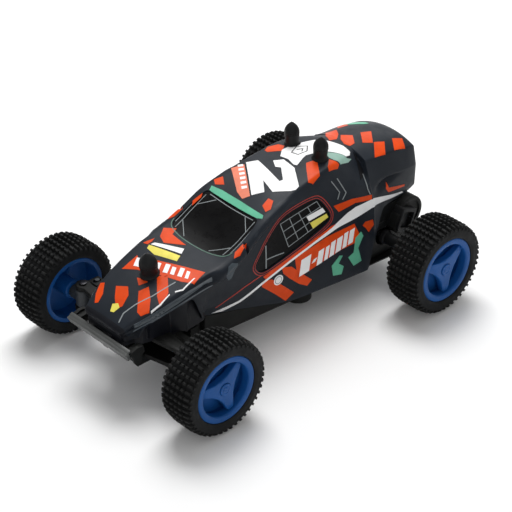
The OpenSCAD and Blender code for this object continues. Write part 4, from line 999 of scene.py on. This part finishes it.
def rim_geo(w, hub_l, spin=0.0):
    """Blue three-spoke rim, outer face towards +x at x = 0."""
    parts = []
    ring = [(14.1, -1.9), (14.2, -1.45), (14.55, -1.0), (15.1, -0.76), (16.7, -0.7), (17.2, -0.8), (17.5, -1.1), (17.6, -1.6),
            (17.6, -2.05), (17.02, -2.2), (17.02, -(w - 2.2)), (17.6, -(w - 2.05)), (17.6, -(w - 1.0)), (17.4, -(w - 0.75)),
            (15.9, -(w - 0.7)), (15.45, -(w - 0.9)), (15.3, -(w - 1.4)), (15.3, -6.4), (14.9, -5.8), (14.1, -5.4)]
    parts.append(lathe(ring, 120))
    parts.append(lathe([(4.8, -7.2), (15.5, -8.6), (15.5, -9.6), (4.8, -8.2)], 96))
    # star with concave sides, softened rim
    ncol = 120
    def r_edge(t):
        """t: angle from a window's middle, degrees, -60..60."""
        om = 52.5
        if abs(t) >= om: return 14.3
        u = abs(t) / om
        return 6.1 + (14.3 - 6.1) * (0.42 * u ** 2 + 0.58 * u ** 6)
    V, F = [], []
    rows = []
    for c in range(ncol):
        th = 360.0 * c / ncol
        t = (th % 120) - 60
        re = r_edge(t)
        a = math.radians(th + spin)
        spoke = abs(t) >= 52.5
        f = 0.0 if spoke else 1.0
        def px(r): return -1.75 - 0.75 * ((r - 3.2) / 11.0) ** 1.6
        prof = [(3.2, -3.4), (3.2, -2.0), (3.5, -1.75)]
        for s in (0.2, 0.45, 0.7):
            r = 3.5 + (re - 0.75 - 3.5) * s; prof.append((r, px(r)))
        prof += [(re - 0.75, px(re - 0.75)), (re - 0.35, px(re) - 0.1), (re - 0.08, px(re) - 0.42), (re, px(re) - 0.95), (re + 0.1, -5.1),
                 (3.2, -5.1)]
        ids = []
        for r, x in prof:
            V.append((x, r * math.cos(a), r * math.sin(a))); ids.append(len(V) - 1)
        rows.append(ids)
    k = len(rows[0])
    for c in range(ncol):
        d = (c + 1) % ncol
        for i in range(k):
            j = (i + 1) % k
            F.append((rows[c][i], rows[c][j], rows[d][j], rows[d][i]))
    parts.append((V, F))
    # inner hub with a stepped boss and stiffening ribs behind each spoke
    parts.append(lathe([(1.5, -3.2), (3.3, -3.2), (3.6, -4.9), (6.0, -5.0), (6.0, -5.6), (4.9, -6.4), (4.7, -hub_l + 0.5), (4.3, -hub_l), (1.5, -hub_l)], 48))
    for q in range(3):
        a = math.radians(120 * q + spin)
        n = np.array([0, math.cos(a), math.sin(a)]); s = np.array([0, -math.sin(a), math.cos(a)])
        P = []
        for x in (-4.8, -9.5):
            for r, hw in ((4.4, 0.7), (15.5, 0.7)):
                for sg in (-1, 1):
                    xx = x if not (x < -5 and r > 10) else -7.6
                    P.append(tuple(n * r + s * sg * hw + np.array([xx, 0, 0])))
        Fq = [(0, 1, 3, 2), (4, 6, 7, 5), (0, 4, 5, 1), (2, 3, 7, 6), (0, 2, 6, 4), (1, 5, 7, 3)]
        parts.append((P, Fq))
    return join_parts(parts)


def cap_geo():
    """Flush round cap with an engraved ring and three small radial ticks."""
    prof = [(0.0, -1.15), (1.55, -1.15), (1.7, -1.3), (2.0, -1.3), (2.15, -1.15), (2.9, -1.2), (3.12, -1.4), (3.12, -2.6), (0.0, -2.6)]
    V, F = [], []
    n = 60
    V.append((prof[0][1], 0, 0)); V.append((prof[-1][1], 0, 0))
    mid = prof[1:-1]
    for k in range(n):
        c, s = math.cos(2 * math.pi * k / n), math.sin(2 * math.pi * k / n)
        for r, x in mid: V.append((x, r * c, r * s))
    m = len(mid)
    for k in range(n):
        a, b = 2 + k * m, 2 + ((k + 1) % n) * m
        F.append((0, a, b))
        for i in range(m - 1): F.append((a + i, a + i + 1, b + i + 1, b + i))
        F.append((1, b + m - 1, a + m - 1))
    parts = [(V, F)]
    for q in range(3):
        a = math.radians(120 * q + 60)
        n_ = np.array([0, math.cos(a), math.sin(a)]); s_ = np.array([0, -math.sin(a), math.cos(a)])
        P = []
        for x in (-1.3, -1.02):
            for r in (0.5, 1.35):
                for sg in (-1, 1): P.append(tuple(n_ * r + s_ * sg * 0.22 + np.array([x, 0, 0])))
        parts.append((P, [(0, 1, 3, 2), (4, 6, 7, 5), (0, 4, 5, 1), (2, 3, 7, 6), (0, 2, 6, 4), (1, 5, 7, 3)]))
    return join_parts(parts)


def place(geo, at, right=False):
    V, F = geo
    s = -1 if right else 1
    V = [(s * (x + at[0]), y + at[1], z + at[2]) for x, y, z in V]
    if right: F = [tuple(q[::-1]) for q in F]
    return V, F


YF, YR, AZ = -74.75, 74.75, 25.0
T_F, T_R = tyre_geo(20.2), tyre_geo(21.2)
for side, right in (("left", False), ("right", True)):
    fb = "front_wheel_" + side
    make("tyre_front_" + side, *place(T_F, (66.5, YF, AZ), right), RUBBER, fb, 30, ("front_tyre_" + side,), "tyre_rubber")
    make("tyre_rear_" + side, *place(T_R, (68.2, YR, AZ), right), RUBBER, "rear_axle_set", 30, ("rear_tyre_" + side,), "tyre_rubber")
    make("rim_front_" + side, *place(rim_geo(20.2, 18.4, 47), (66.5, YF, AZ), right), RIM, fb, 32, ("front_rim_" + side,), "rim_plastic")
    make("rim_rear_" + side, *place(rim_geo(21.2, 19.0, 36), (68.2, YR, AZ), right), RIM, "rear_axle_set", 32, ("rear_rim_" + side,), "rim_plastic")
    make("cap_front_" + side, *place(cap_geo(), (66.5, YF, AZ), right), RIM, fb, 32, ("front_hub_cap_" + side,), "rim_plastic")
    c = make("cap_rear_" + side, *place(cap_geo(), (68.2, YR, AZ), right), RIM, "rear_axle_set", 32, (), "rim_plastic")
    if not right:
        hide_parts("rear_hub_caps")

# ---------------------------------------------------------------- posts
def post_geo(r, h, flange):
    prof = [(0.0, -0.6), (flange, -0.6), (flange + 0.05, 0.2), (flange - 0.25, 0.65), (r - 0.25, 1.0), (r - 0.4, 1.7), (r - 0.3, 2.6)]
    n = 12
    y0 = h - r * 1.45
    for i in range(n + 1):
        t = i / n
        prof.append((r * (1 - t ** 2.1) * (1 if i < n else 0), y0 + r * 1.5 * t ** 0.92))
    # a shallow parting groove under the dome
    prof.insert(7, (r, y0 - 0.5)); prof.insert(8, (r - 0.16, y0 - 0.35)); prof.insert(9, (r - 0.16, y0 - 0.2)); prof.insert(10, (r, y0 - 0.05))
    V = [(0, 0, prof[0][1]), (0, 0, prof[-1][1])]; F = []
    mid = prof[1:-1]; m = len(mid); N = 64
    for k in range(N):
        c, s = math.cos(2 * math.pi * k / N), math.sin(2 * math.pi * k / N)
        for rr, z in mid: V.append((rr * c, rr * s, z))
    for k in range(N):
        a, b = 2 + k * m, 2 + ((k + 1) % N) * m
        F.append((0, b, a))
        for i in range(m - 1): F.append((a + i, b + i, b + i + 1, a + i + 1))
        F.append((1, a + m - 1, b + m - 1))
    return V, F


def stand(geo, x, y):
    """Sets a post on the skin, square to it."""
    loc, nor, _, _ = SKIN.ray_cast(Vector((x, y, 130)), Vector((0, 0, -1)))
    if nor.z < 0: nor = -nor
    nor = (nor * 0.55 + Vector((0, 0, 1)) * 0.45).normalized()
    q = Vector((0, 0, 1)).rotation_difference(nor)
    return [tuple(loc + q @ Vector(v)) for v in geo[0]], geo[1]


make("post_bonnet", *stand(post_geo(4.6, 12.4, 5.1), 0, -64.5), DARK2, "car_body", 30, ("bonnet_post",), "black_plastic")
make("post_roof_left", *stand(post_geo(3.9, 12.2, 4.3), 10, 39.3), DARK2, "car_body", 30, ("roof_post_left",), "black_plastic")
make("post_roof_right", *stand(post_geo(3.9, 12.2, 4.3), -10, 39.3), DARK2, "car_body", 30, ("roof_post_right",), "black_plastic")
# ---------------------------------------------------------------- front bumper
tilt = math.atan2(5.5, 12)
def blade_xf(V):
    c, s = math.cos(tilt), math.sin(tilt)
    out = []
    for x, y, z in V:      # local: y depth, z height
        out.append((x, -91.8 + y * c - z * s, 23 + y * s + z * c))
    return out
def rounded(poly, r, n=4):
    """Rounds each corner of an outline with a short arc."""
    P = [np.array(p, float) for p in poly]; out = []
    for i in range(len(P)):
        a, b, c = P[i - 1], P[i], P[(i + 1) % len(P)]
        u, v = a - b, c - b
        ru = min(r, 0.45 * np.linalg.norm(u), 0.45 * np.linalg.norm(v))
        p0, p2 = b + u / np.linalg.norm(u) * ru, b + v / np.linalg.norm(v) * ru
        for k in range(n + 1):
            t = k / n
            q = p0 * (1 - t) ** 2 + 2 * b * t * (1 - t) + p2 * t * t
            out.append((float(q[0]), float(q[1])))
    return out
half_blade = [(0, 6.9), (20.2, 6.9), (22.2, 8.0), (22.7, 11.2), (21.8, 12.3), (0, 12.6)]
outline = rounded([(-x, z) for x, z in half_blade[:0:-1]][:-1] + half_blade[1:-1], 0.9)
bl = prism([(x, z) for x, z in outline], -2.2, -0.5, "xz")
parts = [(blade_xf(bl[0]), bl[1])]
lip = prism([(-22.0, 11.4), (22.0, 11.4), (22.0, 12.5), (-22.0, 12.5)], -0.7, 1.3, "xz")
parts.append((blade_xf(lip[0]), lip[1]))
tab = prism(rounded([(1.8, 5.7), (4.8, 5.7), (4.8, 7.6), (1.8, 7.6)], 0.4), -2.0, -0.7, "xz")
parts.append((blade_xf(tab[0]), tab[1]))
bumper_front = solid_piece("bumper_blade", parts, BUMP, "car_body", 0.3, 2, (), "bumper_plastic")
# hooked end returns, stiffening ribs and the two arms that reach back to the carrier
parts = []
for sx in (-1, 1):
    hook = prism(rounded([(-96.6, 33.2), (-91.4, 34.6), (-88.0, 34.2), (-87.4, 30.6), (-89.4, 29.6), (-89.6, 26.4), (-91.8, 23.6),
                          (-93.4, 25.8), (-94.6, 29.0)], 0.6), sx * 20.6, sx * 22.4, "yz")
    parts.append(hook)
    inner = prism(rounded([(-95.6, 33.0), (-89.0, 33.4), (-89.4, 29.8), (-93.6, 28.4)], 0.5), sx * 17.6, sx * 21.4, "yz")
    parts.append(inner)
    arm = prism([(-95.4, 28.8), (-95.8, 32.0), (-88.4, 27.4), (-87.6, 22.2), (-90.2, 22.2)], sx * 8.2, sx * 10.4, "yz")
    parts.append(arm)
for x0 in (-15, -4.6, 4.6, 15):
    rb = prism([(x0 - 0.5, 7.6), (x0 + 0.5, 7.6), (x0 + 0.5, 11.4), (x0 - 0.5, 11.4)], -0.7, 1.1, "xz")
    parts.append((blade_xf(rb[0]), rb[1]))
parts.append(prism(rounded([(-11, 24.0), (11, 24.0), (11, 29.0), (-11, 29.0)], 0.8), -90.4, -88.2, "xz"))
solid_piece("bumper_arms", parts, BLACK, "car_body", 0.25, 2, ("front_bumper",), "bumper_plastic")

# ---------------------------------------------------------------- nose block
def ring_loft(rings, mat, name, stands, slot, angle=30):
    """Closes a stack of equal rings into one solid."""
    n = len(rings[0]); V = [tuple(p) for r in rings for p in r]; F = []
    for a in range(len(rings) - 1):
        for i in range(n):
            j = (i + 1) % n
            F.append((a * n + i, a * n + j, (a + 1) * n + j, (a + 1) * n + i))
    F.append(tuple(range(n))[::-1]); F.append(tuple((len(rings) - 1) * n + i for i in range(n)))
    return make(name, V, F, mat, "car_body", angle, stands, slot)


rings = []
for y in (-93.4, -92.9, -92.0, -90, -86, -84.6, -83.6, -80, -76, -72, -68, -64, -60, -58, -56, -54, -52, -50, -48, -46.6, -46.0):
    w = XL(y) - 0.9
    if y > -59: w = 20.4 - 0.1 * (y + 59)
    if -84.9 < y < -83.2: w = 14.2 + (17.0 - 14.2) * sstep(-84.9, -83.2, y)
    end = 0.9 * (1 - sstep(-93.4, -92.0, y)) + 0.9 * sstep(-47.0, -46.0, y)
    w -= end
    zt = (ZL(y) if y < -59 else 46.8) + 1.2
    zb = (29.4 if y < -84 else 29.4 + 1.2 * sstep(-84, -80, y) - 3.4 * sstep(-66, -58, y)) + end
    if y < -84.5: zt = 36.5
    c = 1.3
    half = [(w, zt), (w, zb + c), (w - c * 0.3, zb + c * 0.3), (w - c, zb)]
    sec = half + [(-x, z) for x, z in half[::-1]]
    rings.append([(x, y - 0.25 * max(0, zt - z) * (1 if y < -92 else 0) * 0, z) for x, z in sec])
ring_loft(rings, COVER, "nose_block", ("steering_cover",), "cover_plastic")
for sx, tag in ((1, "left"), (-1, "right")):
    rib = prism(rounded([(-69.9, 30.4), (-67.6, 30.2), (-68.6, 45.4), (-70.6, 45.2)], 0.5), sx * 18.0, sx * 20.6, "yz")
    pad = prism(rounded([(-82.4, 33.0), (-72.6, 32.6), (-72.6, 43.6), (-82.4, 40.2)], 1.0), sx * 16.0, sx * 18.5, "yz")
    solid_piece("cover_detail_" + tag, [rib, pad], COVER, "car_body", 0.22, 2, (), "cover_plastic")

# dark fascia that wraps the bonnet's front edge
def fascia():
    R = shell_rings(); ys = stations()
    sel = [k for k, y in enumerate(ys) if y <= -92.2]
    V, F = [], []
    n = R.shape[1]
    for k in sel:
        cz = float(R[k][:, 2].mean())
        for q in R[k]:
            d = Vector((q[0] * 0.5, -8.0 if ys[k] < -93.4 else -1.0, q[2] - cz)).normalized()
            V.append(tuple(Vector(q) + d * 0.28))
    m = len(sel) * n
    for k in sel:
        cz = float(R[k][:, 2].mean())
        for q in R[k]:
            d = Vector((q[0] * 0.5, -8.0 if ys[k] < -93.4 else -1.0, q[2] - cz)).normalized()
            V.append(tuple(Vector(q) - d * 0.3))
    for k in range(len(sel) - 1):
        for i in range(n - 1):
            a, b, c, d = k * n + i, k * n + i + 1, (k + 1) * n + i + 1, (k + 1) * n + i
            F.append((a, b, c, d)); F.append((m + d, m + c, m + b, m + a))
    e = (len(sel) - 1) * n
    for i in range(n - 1):
        F.append((i, m + i, m + i + 1, i + 1))
        F.append((e + i, e + i + 1, m + e + i + 1, m + e + i))
    for k in range(len(sel) - 1):
        F.append((k * n, (k + 1) * n, m + (k + 1) * n, m + k * n))
        F.append((k * n + n - 1, m + k * n + n - 1, m + (k + 1) * n + n - 1, (k + 1) * n + n - 1))
    # front plate closes the nose under the skin
    make("nose_fascia", V, F, COVER, "car_body", 30, (), "cover_plastic")
fascia()
plate_pts = [(-12.0, 30.2), (12.0, 30.2), (12.6, 33.2), (12.4, 38.6), (8.0, 40.0), (-8.0, 40.0), (-12.4, 38.6), (-12.6, 33.2)]
pl = prism(rounded(plate_pts, 0.8), -93.6, -92.4, "xz")
solid_piece("nose_plate", [pl, prism(rounded([(-6, 31.6), (6, 31.6), (6, 34.4), (-6, 34.4)], 0.6), -93.9, -93.2, "xz")], COVER, "car_body", 0.3, 2, (), "cover_plastic")

# painted highlight: pale strips along the bonnet's sides, on the upper bevel and the lip, where light from above falls
for side in ("left", "right"):
    up = [(-88.4, 43.1), (-80, 46.2), (-70, 49.3), (-60, 51.9), (-52, 53.6), (-46, 54.6), (-46, 52.2), (-52, 50.9), (-60, 49.0), (-70, 46.5), (-80, 43.5), (-88.0, 40.9)]
    lo = [(-89.0, 40.0), (-80, 43.4), (-70, 46.0), (-60, 48.2), (-52, 49.6), (-46, 50.3), (-46, 49.7), (-52, 48.9), (-60, 47.5), (-70, 45.2), (-80, 42.6), (-89.0, 39.3)]
    drape("painted_highlight_strip_" + side, [up, lo], side, CREASE_PAINTED_HIGHLIGHT, lift=0.1, sink=0.2)

# square socket moulded on the drum's end
def tilted_rect(w, h, r, cy=85.9, cz=32.6, ang=-22):
    c, q = math.cos(math.radians(ang)), math.sin(math.radians(ang))
    pts = rounded([(-w / 2, -h / 2), (w / 2, -h / 2), (w / 2, h / 2), (-w / 2, h / 2)], r)
    return [(cy + a * c - b * q, cz + a * q + b * c) for a, b in pts]
rings = [[(x, y, z) for y, z in tilted_rect(w, h, r)] for x, w, h, r in
         ((20.0, 11.0, 13.0, 1.2), (28.2, 11.0, 13.0, 1.2), (28.6, 10.4, 12.4, 1.0), (28.6, 8.0, 9.2, 0.7), (28.3, 7.4, 8.6, 0.6), (26.5, 7.2, 8.4, 0.6))]
ring_loft(rings, DARK2, "drum_socket", (), "black_plastic")

# black sleeves over the rear axle between the housing and the wheels, standing in for the shade in that gap
for sx, tag in ((1, "left"), (-1, "right")):
    sl = lathe([(2.05, 0.0), (3.6, 0.0), (3.9, 0.5), (3.9, 2.4), (3.3, 3.0), (3.2, 14.0), (3.5, 14.4), (3.5, 16.4), (3.2, 16.8), (3.1, 22.4), (2.7, 22.9), (2.05, 22.9)], 48)
    V = [(sx * (x + 22.7), y + 74.75, z + 25.0) for x, y, z in sl[0]]
    F = sl[1] if sx > 0 else [q[::-1] for q in sl[1]]
    make("axle_shade_sleeve_" + tag, V, F, DARK2, "rear_axle_set", 30, (), "black_plastic")

# ---------------------------------------------------------------- everything else keeps its CAD shape
SOFT = {"chassis_tub": 0.35, "front_carrier": 0.3, "steering_plate": 0.25, "knuckle_left": 0.25, "knuckle_right": 0.25,
        "steering_rack": 0.25, "trim_lever": 0.2, "rear_housing": 0.4, "gearbox_case": 0.25, "gearbox_cover": 0.2,
        "battery_door": 0.25, "switch_slider": 0.15, "power_switch": 0.15, "body_screws": 0.12, "steering_screws": 0.1,
        "carrier_screws": 0.1, "door_screw": 0.1, "kingpins": 0.12, "stub_axle_left": 0.15, "stub_axle_right": 0.15,
        "rear_axle": 0.15, "axle_nuts": 0.15, "drive_motor": 0.3, "steering_motor": 0.3, "circuit_board": 0.1,
        "board_components": 0.15, "battery_contacts": 0.06, "gearbox_screws": 0.1, "axle_bushes": 0.1}
for node, wd in SOFT.items():
    ob = refine(node, SCREW if node in ("carrier_screws", "kingpins") else None, wd, 2)
    # the bumper tab and its two screws sit level with the plate behind the blade
    if node in ("front_carrier", "carrier_screws"):
        lim = -0.0850 if node == "front_carrier" else -0.0830
        for v in ob.data.vertices:
            if v.co.y < lim:
                v.co.z += 0.0066
                if node == "carrier_screws": v.co.y += 0.0016
for node in ("axle_gear", "reduction_gear", "steering_gear", "steering_pinion", "drive_pinion", "battery_cells",
             "antenna_wire", "motor_wires", "centring_spring", "steering_gear_shaft", "reduction_shaft"):
    refine(node, None, 0, 2)
# ---------------------------------------------------------------- stage
def floor():
    me = bpy.data.meshes.new("floor")
    me.from_pydata([(-6, -6, 0), (6, -6, 0), (6, 6, 0), (-6, 6, 0)], [], [(0, 1, 2, 3)])
    ob = bpy.data.objects.new("floor", me)
    scene.collection.objects.link(ob)
    m = Mat("floor_paper")
    base = m.mix(m.ramp(m.noise(3, 3), 0, 1), (0.88, 0.88, 0.88), (0.92, 0.92, 0.92))
    me.materials.append(m.done(base, 0.85, m.bump(m.noise(900, 2), 0.1, 0.00005), Specular_IOR_Level=0.2))
floor()
world = bpy.data.worlds.new("studio")
scene.world = world
world.use_nodes = True
world.node_tree.nodes["Background"].inputs["Color"].default_value = (1, 1, 1, 1)
world.node_tree.nodes["Background"].inputs["Strength"].default_value = 0.42


def area(name, loc, aim, size, power, color=(1, 1, 1)):
    L = bpy.data.lights.new(name, "AREA")
    L.shape = "RECTANGLE"; L.size, L.size_y = size
    L.energy = power; L.color = color
    ob = bpy.data.objects.new(name, L)
    scene.collection.objects.link(ob)
    ob.location = loc
    ob.rotation_mode = "QUATERNION"
    ob.rotation_quaternion = (Vector(aim) - Vector(loc)).to_track_quat("-Z", "Y")
    return ob


area("key", (-0.32, 0.3, 1.0), (0, 0, 0), (0.7, 0.6), 11.0)
area("side", (0.9, -0.5, 0.5), (0, 0, 0.03), (0.7, 0.5), 1.3)
area("back", (-0.7, 0.8, 0.6), (0, 0, 0.03), (0.8, 0.5), 2.0)
scene.view_settings.view_transform = "Standard"
scene.view_settings.look = "None"

cam = bpy.data.cameras.new("cam")
cam_ob = bpy.data.objects.new("cam", cam)
scene.collection.objects.link(cam_ob)
scene.camera = cam_ob
cam.sensor_width = 36.0
cam.clip_start, cam.clip_end = 0.01, 30
cam_ob.rotation_mode = "QUATERNION"
cam.lens = 135.0
cam_ob.location = Vector((0.59542, -0.54937, 0.56270))
cam_ob.rotation_quaternion = (Vector((0.0005, 0.0045, 0.0330)) - cam_ob.location).to_track_quat("-Z", "Y")
